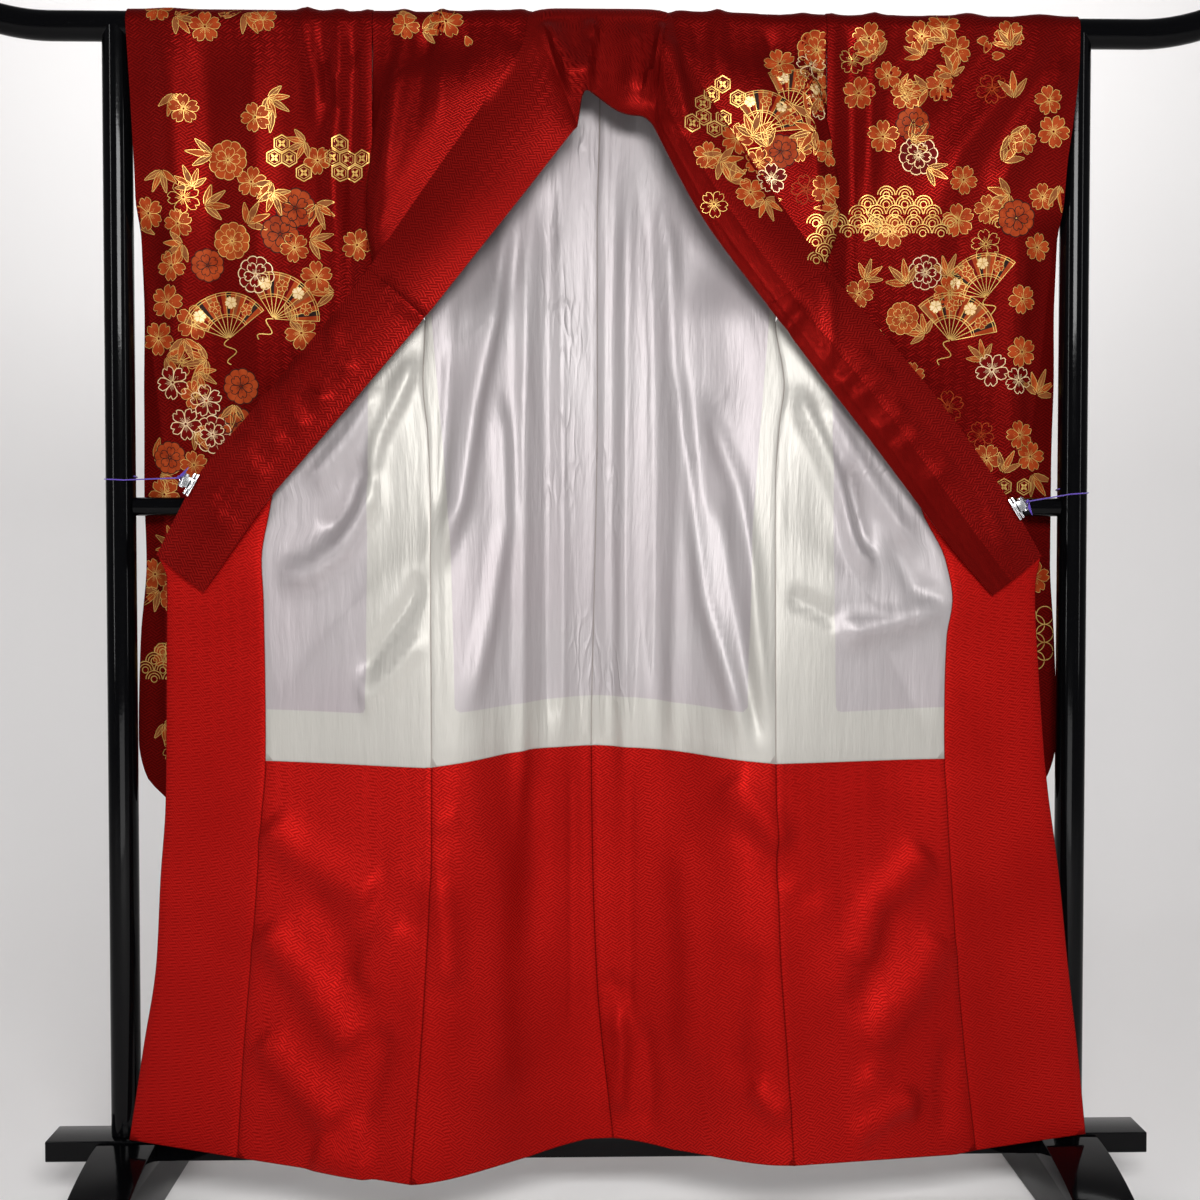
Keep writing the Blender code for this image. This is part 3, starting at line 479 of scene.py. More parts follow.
def pucker(ridges: tuple[Crease, ...], x: np.ndarray) -> np.ndarray:
    """How far the cloth over the bar stands off it, from the creases that reach the bar.

    Args:
        ridges: the creases below the bar.
        x: distances along X in the world.

    Returns:
        The lift at each place, never far into the bar.
    """
    return np.maximum(0.75 * relief(ridges, x, np.full(x.shape, TOP)), -PRESS_TOP)


@dataclass
class Cloth:
    """A grid of points on a hung cloth's inside face, with its outward normals and its flat cut."""

    points: np.ndarray
    normals: np.ndarray
    cut: np.ndarray = field(init=False)

    def __post_init__(self) -> None:
        """Lay the cloth flat: how far across and how far down each point lies."""
        self.cut = np.dstack([cumulative(self.points, 1), cumulative(self.points, 0)])

    def out(self, distance: np.ndarray | float) -> np.ndarray:
        """Points moved out along the normals by a distance each."""
        amount = np.broadcast_to(np.asarray(distance, float), self.points.shape[:2])
        return self.points + self.normals * amount[..., None]

    def area(self) -> float:
        """Measure the grid.

        Returns:
            Its area in square metres.
        """
        across = self.points[:-1, 1:] - self.points[:-1, :-1]
        down = self.points[1:, :-1] - self.points[:-1, :-1]
        return float(np.linalg.norm(np.cross(across, down), axis=2).sum())

    def part(self, rows: slice) -> "Cloth":
        """Take a piece of this cloth.

        Args:
            rows: the rows it takes.

        Returns:
            The piece, which keeps its place in the cut.
        """
        piece = Cloth(self.points[rows], self.normals[rows])
        piece.cut = self.cut[rows]
        return piece


def grid_normals(points: np.ndarray) -> np.ndarray:
    """Unit normals of a grid of points, by its two directions.

    Args:
        points: rows by columns by 3.

    Returns:
        The normals, across x down.
    """
    across, down = np.gradient(points, axis=1), np.gradient(points, axis=0)
    normal = np.cross(across, down)
    return normal / np.linalg.norm(normal, axis=2, keepdims=True)


CELL = ((slice(None, -1), slice(None, -1)), (slice(None, -1), slice(1, None)),
        (slice(1, None), slice(1, None)), (slice(1, None), slice(None, -1)))


class Shell:
    """Gathers grids of points into one closed thin wall with its place in the cut on each corner."""

    def __init__(self, name: str) -> None:
        """Start an empty wall.

        Args:
            name: the piece's name.
        """
        self.name = name
        self.count = 0
        self.points: list[np.ndarray] = []
        self.faces: list[np.ndarray] = []
        self.cuts: list[np.ndarray] = []
        self.slots: list[np.ndarray] = []
        self.marks: dict[str, list[np.ndarray]] = {"mark": [], "seam": []}

    def vertices(self, points: np.ndarray, mark: np.ndarray | float,
                 seam: np.ndarray | float) -> np.ndarray:
        """Take in a grid of points.

        Args:
            points: rows by columns by 3.
            mark: a number for each point that a finish can read.
            seam: how far each point is from the nearest seam, in metres; the finishes darken the colour close
                to it as painted seam shadow.

        Returns:
            The grid of their indices.
        """
        shape = points.shape[:2]
        index = np.arange(self.count, self.count + shape[0] * shape[1]).reshape(shape)
        self.count += index.size
        self.points.append(points.reshape(-1, 3))
        for name, value in (("mark", mark), ("seam", seam)):
            self.marks[name].append(np.broadcast_to(np.asarray(value, float), shape).reshape(-1))
        return index

    def sides(self, cloth: Cloth, inside: np.ndarray | float = 0.0, outside: np.ndarray | float = CLOTH,
              mark: np.ndarray | float = 0.0, seam: np.ndarray | float = 1.0) -> list[np.ndarray]:
        """Take in a cloth's inside and outside points, each so far out along its normals."""
        return [self.vertices(cloth.out(distance), mark, seam) for distance in (inside, outside)]

    def quads(self, corners: list[np.ndarray], cuts: list[np.ndarray], slot: int = 0) -> None:
        """Add four-sided faces.

        Args:
            corners: four arrays of vertex indices, one for each corner.
            cuts: where those corners lie in the cut.
            slot: the faces' material slot.
        """
        self.faces.append(np.stack(corners, axis=-1).reshape(-1, 4))
        self.cuts.append(np.stack(cuts, axis=-2).reshape(-1, 4, 2))
        self.slots.append(np.full(len(self.faces[-1]), slot))

    def patch(self, index: np.ndarray, cut: np.ndarray, slot: int, turn: int) -> None:
        """Cover a grid of indices with quads, the other way round where the turn is -1."""
        self.quads([index[cell] for cell in CELL[::turn]], [cut[cell] for cell in CELL[::turn]], slot)

    def edge(self, near: np.ndarray, far: np.ndarray, cut: np.ndarray) -> None:
        """Close the wall along a line of inside and outside indices."""
        self.quads([near[:-1], far[:-1], far[1:], near[1:]], [cut[:-1], cut[:-1], cut[1:], cut[1:]])

    def wall(self, sides: list[np.ndarray], cut: np.ndarray, inner_slot: int = 0,
             joined: int | None = None) -> None:
        """Add both faces of a wall and its edges.

        Args:
            sides: the inside and outside faces' indices.
            cut: where each lies in the cut.
            inner_slot: the inside face's material slot.
            joined: the column from which the first row joins another wall and stays open.
        """
        near, far = sides
        self.patch(near, cut, inner_slot, -1)
        self.patch(far, cut, 0, 1)
        if joined != 0:
            end = None if joined is None else joined + 1
            self.edge(near[0, :end], far[0, :end], cut[0, :end])
        self.edge(near[-1], far[-1], cut[-1])
        for column in (0, -1):
            self.edge(near[:, column], far[:, column], cut[:, column])

    def build(self, *finishes: bpy.types.Material) -> bpy.types.Object:
        """Make the mesh object, without the points that no face uses.

        Args:
            finishes: the materials in slot order.

        Returns:
            The object, linked to the scene.
        """
        mesh = bpy.data.meshes.new(self.name)
        faces = np.concatenate(self.faces)
        mesh.from_pydata(np.concatenate(self.points).tolist(), [], faces.tolist())
        layer = mesh.uv_layers.new(name="cut")
        layer.data.foreach_set("uv", np.concatenate(self.cuts).astype(np.float32).ravel())
        mesh.polygons.foreach_set("material_index", np.concatenate(self.slots).astype(np.int32))
        for name, values in self.marks.items():
            layer = mesh.attributes.new(name, "FLOAT", "POINT")
            layer.data.foreach_set("value", np.concatenate(values).astype(np.float32))
        for finish in finishes:
            mesh.materials.append(finish)
        return link(self.name, mesh, SHARP_CLOTH)


def link(name: str, mesh: bpy.types.Mesh, sharp: float) -> bpy.types.Object:
    """Turn a mesh's faces outwards, smooth it and put it in the scene.

    Args:
        name: the object's name.
        mesh: its mesh.
        sharp: the angle in degrees above which an edge isn't smoothed.

    Returns:
        The object.
    """
    work = bmesh.new()
    work.from_mesh(mesh)
    bmesh.ops.recalc_face_normals(work, faces=work.faces[:])
    bmesh.ops.delete(work, geom=[vert for vert in work.verts if not vert.link_faces], context="VERTS")
    work.to_mesh(mesh)
    work.free()
    mesh.update()
    mesh.shade_smooth()
    mesh.set_sharp_from_angle(angle=math.radians(sharp))
    return show(name, mesh)


def show(name: str, data: bpy.types.ID) -> bpy.types.Object:
    """Put a new object into the scene.

    Args:
        name: the object's name.
        data: its mesh, light or camera.

    Returns:
        The object.
    """
    obj = bpy.data.objects.new(name, data)
    bpy.context.scene.collection.objects.link(obj)
    return obj


def solid(name: str, work: bmesh.types.BMesh, finish: bpy.types.Material, sharp: float,
          matrix: Matrix = Matrix()) -> bpy.types.Object:
    """Turn a bmesh into an object of one finish.

    Args:
        name: the object's name.
        work: the bmesh, which is freed.
        finish: the material.
        sharp: the angle in degrees above which an edge isn't smoothed.
        matrix: moves it to its place.

    Returns:
        The object.
    """
    mesh = bpy.data.meshes.new(name)
    work.to_mesh(mesh)
    work.free()
    mesh.materials.append(finish)
    mesh.transform(matrix)
    return link(name, mesh, sharp)


def tube(work: bmesh.types.BMesh, line: list[tuple[float, ...]], radii: list[float] | float, sides: int,
         across: tuple[float, float, float] | None = None, closed: bool = False) -> None:
    """Add a round bar or wire along a line of points.

    Args:
        work: the bmesh that takes it.
        line: the points.
        radii: its radius, or one for each point.
        sides: how many sides its section has.
        across: the direction of the section's first corner, if it matters.
        closed: whether its end meets its start; otherwise both are capped.
    """
    points = np.array(line, float)
    ahead = np.roll(points, -1, 0) - np.roll(points, 1, 0) if closed else np.gradient(points, axis=0)
    rings = []
    for point, way, radius in zip(points, ahead, np.broadcast_to(radii, len(points))):
        way = way / np.linalg.norm(way)
        first = across
        if across is None:
            first = np.cross(way, (0.3, 0.2, 0.93) if abs(way[2]) < 0.9 else (1.0, 0.0, 0.0))
            first = first / np.linalg.norm(first)
        second = np.cross(way, first)
        ring = []
        for k in range(sides):
            turn = 2 * math.pi * k / sides
            spoke = math.cos(turn) * np.array(first) + math.sin(turn) * second
            ring.append(work.verts.new(point + radius * spoke))
        rings.append(ring)
    for a, b in list(zip(rings[:-1], rings[1:])) + ([(rings[-1], rings[0])] if closed else []):
        for k in range(sides):
            work.faces.new((a[k], a[(k + 1) % sides], b[(k + 1) % sides], b[k]))
    if not closed:
        work.faces.new(rings[0])
        work.faces.new(rings[-1][::-1])


def keep(obj: bpy.types.Object, slot: str, *nodes: str) -> bpy.types.Object:
    """Tie a piece to the frame.

    Args:
        obj: the piece.
        slot: the record's material slot; not used.
        nodes: the CAD nodes that it stands for.

    Returns:
        The piece.
    """
    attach(obj, "root")
    if nodes:
        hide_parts(*nodes)
    log.info("%s: %d faces", obj.name, len(obj.data.polygons) if obj.type == "MESH" else 0)
    return obj


class Graph:
    """Builds the nodes of one material."""

    def __init__(self, name: str) -> None:
        """Start with a Principled shader.

        Args:
            name: the material's name.
        """
        self.material = bpy.data.materials.new(name)
        self.material.use_nodes = True
        self.tree = self.material.node_tree
        self.shader = self.tree.nodes["Principled BSDF"]

    def put(self, socket: bpy.types.NodeSocket, value: object) -> None:
        """Link a socket to another, or set its number or colour.

        Args:
            socket: the socket to feed.
            value: another socket, a number or a colour.
        """
        if isinstance(value, bpy.types.NodeSocket):
            self.tree.links.new(value, socket)
        else:
            socket.default_value = value

    def shade(self, **values: object) -> None:
        """Set or link the shader's own sockets, named with underscores for spaces."""
        for name, value in values.items():
            if isinstance(value, tuple) and len(value) == 3:
                value = (*value, 1.0)
            self.put(self.shader.inputs[name.replace("_", " ")], value)

    def node(self, kind: str, inputs: dict[object, object] | None = None,
             **settings: object) -> bpy.types.Node:
        """Add a node.

        Args:
            kind: the node's type.
            inputs: values or sockets by input name or index.
            settings: the node's own options.

        Returns:
            The node.
        """
        made = self.tree.nodes.new(kind)
        for name, value in settings.items():
            setattr(made, name, value)
        for name, value in (inputs or {}).items():
            self.put(made.inputs[name], value)
        return made

    def math(self, operation: str, *values: object, clamp: bool = False) -> bpy.types.NodeSocket:
        """The result of a Math node on numbers or sockets."""
        inputs = dict(enumerate(values))
        return self.node("ShaderNodeMath", inputs, operation=operation, use_clamp=clamp).outputs[0]

    def mix(self, amount: object, first: object, second: object) -> bpy.types.NodeSocket:
        """A colour between two, by an amount.

        Args:
            amount: how much of the second.
            first: a colour or socket.
            second: a colour or socket.

        Returns:
            The socket that holds it.
        """
        def colour(value: object) -> object:
            """A colour with its alpha, or the socket itself."""
            return (*value, 1.0) if isinstance(value, tuple) and len(value) == 3 else value
        inputs = {0: amount, 6: colour(first), 7: colour(second)}
        return self.node("ShaderNodeMix", inputs, data_type="RGBA").outputs[2]

    def span(self, value: object, low: float, high: float, to_low: float = 0.0, to_high: float = 1.0
             ) -> bpy.types.NodeSocket:
        """Map one range to another, held at its ends."""
        inputs = {0: value, 1: low, 2: high, 3: to_low, 4: to_high}
        return self.node("ShaderNodeMapRange", inputs).outputs[0]

    def place(self, scale: tuple[float, float, float] = (1.0, 1.0, 1.0),
              uv: bool = False) -> bpy.types.NodeSocket:
        """Object coordinates, or the cut's, times a scale.

        Args:
            scale: how much finer along each axis.
            uv: whether to read the cut.

        Returns:
            The socket that holds it.
        """
        if uv:
            source = self.node("ShaderNodeUVMap", uv_map="cut").outputs[0]
        else:
            source = self.node("ShaderNodeTexCoord").outputs["Object"]
        return self.node("ShaderNodeMapping", {0: source, 3: scale}).outputs[0]

    def noise(self, at: object, scale: float, detail: float = 2.0,
              rough: float = 0.5) -> bpy.types.NodeSocket:
        """Noise at the places given."""
        inputs = {"Vector": at, "Scale": scale, "Detail": detail, "Roughness": rough}
        return self.node("ShaderNodeTexNoise", inputs).outputs[0]

    def axes(self, vector: bpy.types.NodeSocket) -> tuple[bpy.types.NodeSocket, ...]:
        """The three parts of a vector."""
        return tuple(self.node("ShaderNodeSeparateXYZ", {0: vector}).outputs)

    def bump(self, height: object, distance: float, strength: float = 1.0,
             under: bpy.types.NodeSocket | None = None) -> bpy.types.NodeSocket:
        """A normal from a height, on top of another where one is given.

        Args:
            height: the height's socket.
            distance: its full height in metres.
            strength: its share.
            under: the normal below it.

        Returns:
            The socket that holds it.
        """
        inputs = {"Height": height, "Distance": distance, "Strength": strength}
        if under is not None:
            inputs["Normal"] = under
        return self.node("ShaderNodeBump", inputs).outputs[0]

    def attribute(self, name: str) -> bpy.types.NodeSocket:
        """A number stored on the mesh."""
        return self.node("ShaderNodeAttribute", attribute_name=name).outputs["Fac"]


@dataclass(frozen=True)
class DamaskSilk:
    """Red silk woven all over with a key fret of fine slanted lines, darkened close to its seams as painted
    seam shadow.
    """

    name: str
    ground: Colour
    figure: Colour
    line: float = 0.0036
    block: float = 0.018
    slant: float = 0.62
    roughness: float = 0.44
    lustre: float = 0.42
    sheen: float = 0.02

    def fret(self, graph: Graph) -> bpy.types.NodeSocket:
        """The weave's figure: stripes that turn from block to block.

        Args:
            graph: the material's graph.

        Returns:
            The figure, 0 on the ground and 1 on the float.
        """
        across, down, _ = graph.axes(graph.place(uv=True))
        leaning = graph.math("MULTIPLY", down, 1.0 / self.slant)
        first = graph.math("ADD", across, leaning)
        second = graph.math("SUBTRACT", across, leaning)
        cells = [graph.math("FLOOR", graph.math("DIVIDE", way, self.block)) for way in (first, second)]
        turned = graph.math("PINGPONG", graph.math("ADD", *cells), 1.0)
        lines = [graph.math("PINGPONG", graph.math("DIVIDE", way, self.line), 1.0) for way in (first, second)]
        kept = graph.math("MULTIPLY", lines[0], turned)
        other = graph.math("MULTIPLY", lines[1], graph.math("SUBTRACT", 1.0, turned))
        return graph.span(graph.math("ADD", kept, other), 0.32, 0.68)

    def dress(self) -> bpy.types.Material:
        """The finished material.

        Returns:
            The material.
        """
        graph = Graph(self.name)
        figure = self.fret(graph)
        # Painted shade: within about 1.6 mm of a seam the colour darkens, standing in for the shadow in the
        # seam's groove.
        seam = graph.span(graph.attribute("seam"), 0.0002, 0.0016, 0.35, 1.0)
        cloudy = graph.noise(graph.place(), 2.3, 3.0)
        slub = graph.noise(graph.place((900.0, 30.0, 1.0), uv=True), 1.0, 2.0)
        deep = tuple(0.86 * part for part in self.ground)
        base = graph.mix(graph.span(cloudy, 0.3, 0.7), deep, self.ground)
        patchy = graph.span(graph.noise(graph.place(), 5.0, 2.0), 0.38, 0.62, 0.55, 1.0)
        base = graph.mix(graph.math("MULTIPLY", figure, patchy), base, self.figure)
        # Painted seam shadow: towards a seam the colour mixes with the ground at an eighth of its brightness.
        base = graph.mix(seam, tuple(0.12 * part for part in self.ground), base)
        rough = graph.math("ADD", graph.math("MULTIPLY", figure, -0.10), self.roughness)
        rough = graph.math("ADD", rough, graph.span(slub, 0.2, 0.8, -0.03, 0.03))
        under = graph.bump(slub, 0.00008)
        graph.shade(Base_Color=base, Roughness=rough, Sheen_Weight=self.sheen, Sheen_Roughness=0.35,
                    Sheen_Tint=(1.0, 0.04, 0.03), Specular_IOR_Level=0.15, Specular_Tint=(1.0, 0.040, 0.025),
                    Anisotropic=0.25, Metallic=self.lustre,
                    Normal=graph.bump(figure, 0.00016, 1.0, under))
        return graph.material


@dataclass(frozen=True)
class LiningSatin:
    """White lining silk, whiter where a second ply or a turning lies under it, and darkened close to its
    seams as painted seam shadow.
    """

    name: str = "white_lining_satin"
    single: Colour = (0.335, 0.313, 0.315)
    double: Colour = (0.385, 0.369, 0.338)
    roughness: float = 0.47
    lustre: float = 0.34

    def crackle(self, graph: Graph) -> bpy.types.NodeSocket:
        """Short sharp wrinkles in patches near the middle.

        Args:
            graph: the material's graph.

        Returns:
            The wrinkles' height.
        """
        crease = graph.noise(graph.place((75.0, 14.0, 1.0), uv=True), 1.0, 1.0, 0.3)
        away = graph.math("ABSOLUTE", graph.math("SUBTRACT", crease, 0.5))
        sharp = graph.span(away, 0.0, 0.09, 1.0, 0.0)
        patch = graph.span(graph.noise(graph.place((9.0, 1.0, 4.6)), 1.0, 1.0), 0.52, 0.64)
        across, _, _ = graph.axes(graph.place())
        near = graph.span(graph.math("ABSOLUTE", across), 0.05, 0.12, 1.0, 0.0)
        return graph.math("MULTIPLY", graph.math("MULTIPLY", sharp, patch), near)

    def dress(self) -> bpy.types.Material:
        """The finished material.

        Returns:
            The material.
        """
        graph = Graph(self.name)
        ply = graph.span(graph.attribute("mark"), -0.0006, 0.0006)
        tint = graph.noise(graph.place(), 3.0, 3.0)
        warp = graph.noise(graph.place((700.0, 9.0, 1.0), uv=True), 1.0, 3.0, 0.6)
        rumple = graph.noise(graph.place((46.0, 5.0, 1.0), uv=True), 1.0, 4.0, 0.55)
        fine = graph.noise(graph.place((150.0, 38.0, 1.0), uv=True), 1.0, 3.0)
        pink = tuple(part * scale for part, scale in zip(self.single, (0.97, 0.92, 0.94)))
        base = graph.mix(graph.span(tint, 0.35, 0.7), pink, self.single)
        base = graph.mix(ply, base, self.double)
        # Painted shade: near each seam the colour goes towards a dark brown grey, standing in for the shadow
        # in the seam's groove.
        seam = graph.span(graph.attribute("seam"), 0.0002, 0.0014, 0.30, 1.0)
        base = graph.mix(seam, (0.20, 0.17, 0.15), base)
        rough = graph.math("ADD", graph.span(warp, 0.2, 0.8, -0.04, 0.05), self.roughness)
        lowest = graph.bump(rumple, 0.0026, 0.8)
        middle = graph.bump(fine, 0.0006, 0.5, lowest)
        middle = graph.bump(self.crackle(graph), 0.0012, 0.7, middle)
        graph.shade(Base_Color=base, Roughness=rough, Sheen_Weight=0.2, Sheen_Roughness=0.3,
                    Specular_IOR_Level=0.35, Anisotropic=0.4, Metallic=self.lustre,
                    Normal=graph.bump(warp, 0.00006, 1.0, middle))
        return graph.material


@dataclass(frozen=True)
class Lacquer:
    """Black gloss lacquer on wood."""

    name: str = "black_lacquer_gloss"
    colour: Colour = (0.0012, 0.0012, 0.0015)

    def dress(self) -> bpy.types.Material:
        """The finished material.

        Returns:
            The material.
        """
        graph = Graph(self.name)
        peel = graph.noise(graph.place(), 160.0, 2.0)
        dust = graph.noise(graph.place(), 900.0, 1.0)
        base = graph.mix(graph.span(dust, 0.72, 0.80), self.colour, (0.02, 0.02, 0.021))
        rough = graph.span(graph.noise(graph.place(), 9.0, 3.0), 0.3, 0.7, 0.07, 0.14)
        graph.shade(Base_Color=base, Roughness=rough, Coat_Weight=0.05, Coat_Roughness=0.05,
                    Specular_IOR_Level=0.10, Normal=graph.bump(peel, 0.00005))
        return graph.material


@dataclass(frozen=True)
class Steel:
    """Bright plated steel with fine scratches."""

    name: str = "bright_plated_steel"

    def dress(self) -> bpy.types.Material:
        """The finished material.

        Returns:
            The material.
        """
        graph = Graph(self.name)
        scratch = graph.noise(graph.place((900.0, 60.0, 900.0)), 1.0, 2.0)
        rough = graph.span(scratch, 0.3, 0.75, 0.20, 0.32)
        tone = graph.mix(graph.span(scratch, 0.2, 0.8), (0.66, 0.67, 0.69), (0.82, 0.82, 0.83))
        graph.shade(Base_Color=tone, Metallic=1.0, Roughness=rough, Normal=graph.bump(scratch, 0.00002))
        return graph.material


@dataclass(frozen=True)
class Thread:
    """Purple twisted string."""

    name: str = "purple_string_twist"
    colour: Colour = (0.055, 0.018, 0.30)

    def dress(self) -> bpy.types.Material:
        """The finished material.

        Returns:
            The material.
        """
        graph = Graph(self.name)
        across, depth, up = graph.axes(graph.place())
        wound = graph.math("ADD", across, graph.math("ADD", depth, up))
        twist = graph.math("PINGPONG", graph.math("MULTIPLY", wound, 900.0), 1.0)
        base = graph.mix(graph.math("MULTIPLY", twist, 0.7), self.colour, (0.12, 0.05, 0.46))
        graph.shade(Base_Color=base, Roughness=0.65, Sheen_Weight=0.4, Normal=graph.bump(twist, 0.0002))
        return graph.material


@dataclass(frozen=True)
class PrintDye:
    """A printed or gilded colour on the silk, uneven as hand-laid colour is."""

    name: str
    light: Colour
    dark: Colour
    roughness: float = 0.45
    metallic: float = 0.0

    def dress(self) -> bpy.types.Material:
        """The finished material.

        Returns:
            The material.
        """
        graph = Graph(self.name)
        broad = graph.noise(graph.place(), 55.0, 2.0)
        grain = graph.noise(graph.place(), 900.0, 2.0)
        tone = graph.math("ADD", graph.math("MULTIPLY", broad, 0.75), graph.math("MULTIPLY", grain, 0.25))
        base = graph.mix(graph.span(tone, 0.35, 0.62), self.dark, self.light)
        rough = graph.math("ADD", graph.span(grain, 0.3, 0.7, -0.06, 0.06), self.roughness)
        graph.shade(Base_Color=base, Roughness=rough, Metallic=self.metallic, Specular_IOR_Level=0.03,
                    Normal=graph.bump(grain, 0.00006))
        return graph.material


@dataclass(frozen=True)
class Plaster:
    """The studio's pale matte floor and wall."""

    name: str
    colour: Colour

    def dress(self) -> bpy.types.Material:
        """The finished material.

        Returns:
            The material.
        """
        graph = Graph(self.name)
        cloudy = graph.noise(graph.place(), 1.2, 3.0)
        dark = tuple(0.96 * part for part in self.colour)
        graph.shade(Base_Color=graph.mix(cloudy, dark, self.colour), Roughness=0.75)
        return graph.material


@dataclass
class Studio:
    """The camera, the lights, and a floor that sweeps up into a wall."""

    lens: float = 44.52
    distance: float = 2.10
    turn: float = 1.3
    eye: float = 0.915
    drop: float = 40.0 / 1484.0
    wall_y: float = 2.6
    half_width: float = 6.0
    wall_top: float = 7.0
    sweep: float = 1.2
    steps: int = 12
    middle: tuple[float, float, float] = (0.0, 0.0, 0.95)
    low: tuple[float, float, float] = (0.0, 0.0, 0.35)
    air: tuple[float, float, float, float] = (0.93, 0.95, 1.0, 1.0)
    air_strength: float = 0.16

    def camera(self) -> None:
        """Put the camera where the photograph's was."""
        data = bpy.data.cameras.new("camera")
        data.lens, data.sensor_width = self.lens, 36.0
        turn = math.radians(self.turn)
        eye = show("camera", data)
        eye.location = (-self.distance * math.sin(turn), -self.distance * math.cos(turn), self.eye)
        eye.rotation_euler = (math.pi / 2 - math.atan(self.drop), 0.0, -turn)
        bpy.context.scene.camera = eye

    def backdrop(self) -> None:
        """Build the floor and the wall as one bent sheet."""
        profile = [(-self.half_width, 0.0), (self.wall_y - self.sweep, 0.0)]
        for k in range(1, self.steps + 1):
            angle = math.pi / 2 * k / self.steps
            y, z = self.wall_y - self.sweep * (1 - math.sin(angle)), self.sweep * (1 - math.cos(angle))
            profile.append((y, z))
        profile.append((self.wall_y, self.wall_top))
        points = [(x, y, z) for y, z in profile for x in (-self.half_width, self.half_width)]
        faces = [(2 * k, 2 * k + 1, 2 * k + 3, 2 * k + 2) for k in range(len(profile) - 1)]
        mesh = bpy.data.meshes.new("studio_floor")
        mesh.from_pydata(points, [], faces)
        mesh.materials.append(Plaster("pale_floor", (0.86, 0.84, 0.83)).dress())
        link("studio_floor", mesh, 80.0)

    def light(self, name: str, place: tuple[float, float, float], size: tuple[float, float], power: float,
              aim: tuple[float, float, float] = middle) -> None:
        """Add one soft box.

        Args:
            name: its name.
            place: where it stands.
            size: its width and height.
            power: its power in watts.
            aim: the point that it faces.
        """
        data = bpy.data.lights.new(name, "AREA")
        data.shape, data.size, data.size_y = "RECTANGLE", *size
        data.energy = power
        box = show(name, data)
        box.location = place
        box.rotation_euler = (Vector(aim) - Vector(place)).to_track_quat("-Z", "Y").to_euler()

    def lights(self) -> None:
        """Light the object softly from above and from both sides."""
        bpy.context.scene.view_settings.view_transform = "Standard"
        self.light("light_key", (0.20, -2.7, 1.95), (1.3, 0.7), 80.0, self.low)
        self.light("light_left", (-2.9, -2.4, 1.7), (0.18, 2.4), 24.0)
        self.light("light_right", (2.9, -2.2, 1.7), (0.18, 2.4), 13.0)
        self.light("light_low", (-0.25, -2.4, 0.25), (1.6, 0.4), 8.0, self.low)
        self.light("light_wall", (0.0, 1.2, 2.9), (4.5, 0.9), 42.0, (0.0, 2.6, 1.9))
        world = bpy.data.worlds.new("studio_air")
        world.use_nodes = True
        back = world.node_tree.nodes["Background"]
        back.inputs["Color"].default_value = self.air
        back.inputs["Strength"].default_value = self.air_strength
        bpy.context.scene.world = world


BODY_CREASES = creases("""
    -122,1430 -129,1382 -150,1255 -176,1123 -192,991 -228,890 150 170 30
    -140,1160 -134,965 -155,832 -185,690 120 80
    -205,1220 -212,1080 -220,960 100 -60
    -112,500 -110,859 -107,1138 -100,1450 120 80
    -72,1500 -76,600 130 -80
    38,1500 34,560 110 80
    68,1480 74,1100 78,620 120 -50
    70,1480 95,1359 105,1120 108,978 104,782 100,600 130 80
    110,1200 118,1112 134,964 147,859 178,753 205,640 120 110 30
    155,1020 180,850 215,660 120 -80
    140,1160 186,1014 205,900 222,680 120 90
    -228,556 -212,566 -190,574 90 40
    -228,498 -214,508 -198,520 90 30
    -220,500 -208,430 -205,340 180 90
    -98,640 -92,500 -98,360 220 -60
    -135,560 -145,380 -140,160 260 70
    4,335 22,322 48,318 60 -50
    20,300 32,250 26,140 150 120 30
    60,280 70,180 62,120 120 -50
    -43,630 -43,250 35 -16 0 10
    43,650 43,260 35 -16 0 10
    168,626 217,568 250,525 240 100 20
    180,565 225,510 252,470 180 -60
    110,550 125,380 120,200 240 70
    200,215 222,190 250,168 140 90
    205,400 180,300 185,200 220 -60
    -455,560 -409,520 -300,462 260 130 0 8
    -290,501 -262,494 -238,500 140 20
    -270,435 -290,395 -325,350 260 90 0 10
    -460,420 -399,353 -330,262 260 130 0 8
    -400,470 -345,400 -335,340 220 -70
    -460,272 -415,225 -355,160 260 120 0 8
    -390,128 -345,110 -300,105 280 100
    -290,300 -300,240 -325,150 180 -80
    450,520 370,441 345,365 280 130 0 8
    282,470 315,400 330,320 280 60
    470,400 420,320 355,255 280 110 0 8
    400,460 385,380 340,300 200 -70
    345,225 390,185 440,165 180 100
    330,135 375,155 430,190 160 90
    480,260 470,180 475,120 160 -50
    -250,1200 -280,1130 -303,1081 -316,1010 120 100 15
    -310,1040 -319,991 -351,933 -393,901 -450,888 170 150
    -322,1055 -345,985 -385,945 130 -110
    -300,1160 -345,1080 -400,1010 140 80
    -240,900 -262,850 -300,800 -330,752 120 -80
    -328,762 -315,726 -278,761 -236,819 100 60
    262,1162 300,1080 326,1020 345,945 380,880 130 120 15
    338,1050 356,970 368,915 110 -120
    300,1150 350,1050 410,965 440,920 140 80
    250,868 290,850 325,828 100 -60
    319,835 346,817 400,828 479,853 160 130
    400,950 430,880 475,845 140 -60
""")

SHOULDER_CREASES = creases("""
    -240,1720 -243,1600 -255,1500 140 -70 0 35
    -222,1720 -220,1580 -215,1500 80 50 0 35
    -272,1720 -272,1620 -290,1480 -305,1380 110 70 0 35
    -190,1720 -186,1620 -190,1560 80 -40 0 40
    -165,1700 -120,1635 -85,1600 80 -40 0 40
    170,1720 162,1620 168,1560 90 50 0 35
    236,1720 240,1600 262,1500 120 -60 0 35
    285,1720 283,1600 298,1440 306,1360 110 60 0 35
    130,1700 140,1610 128,1560 80 -40 0 40
""")

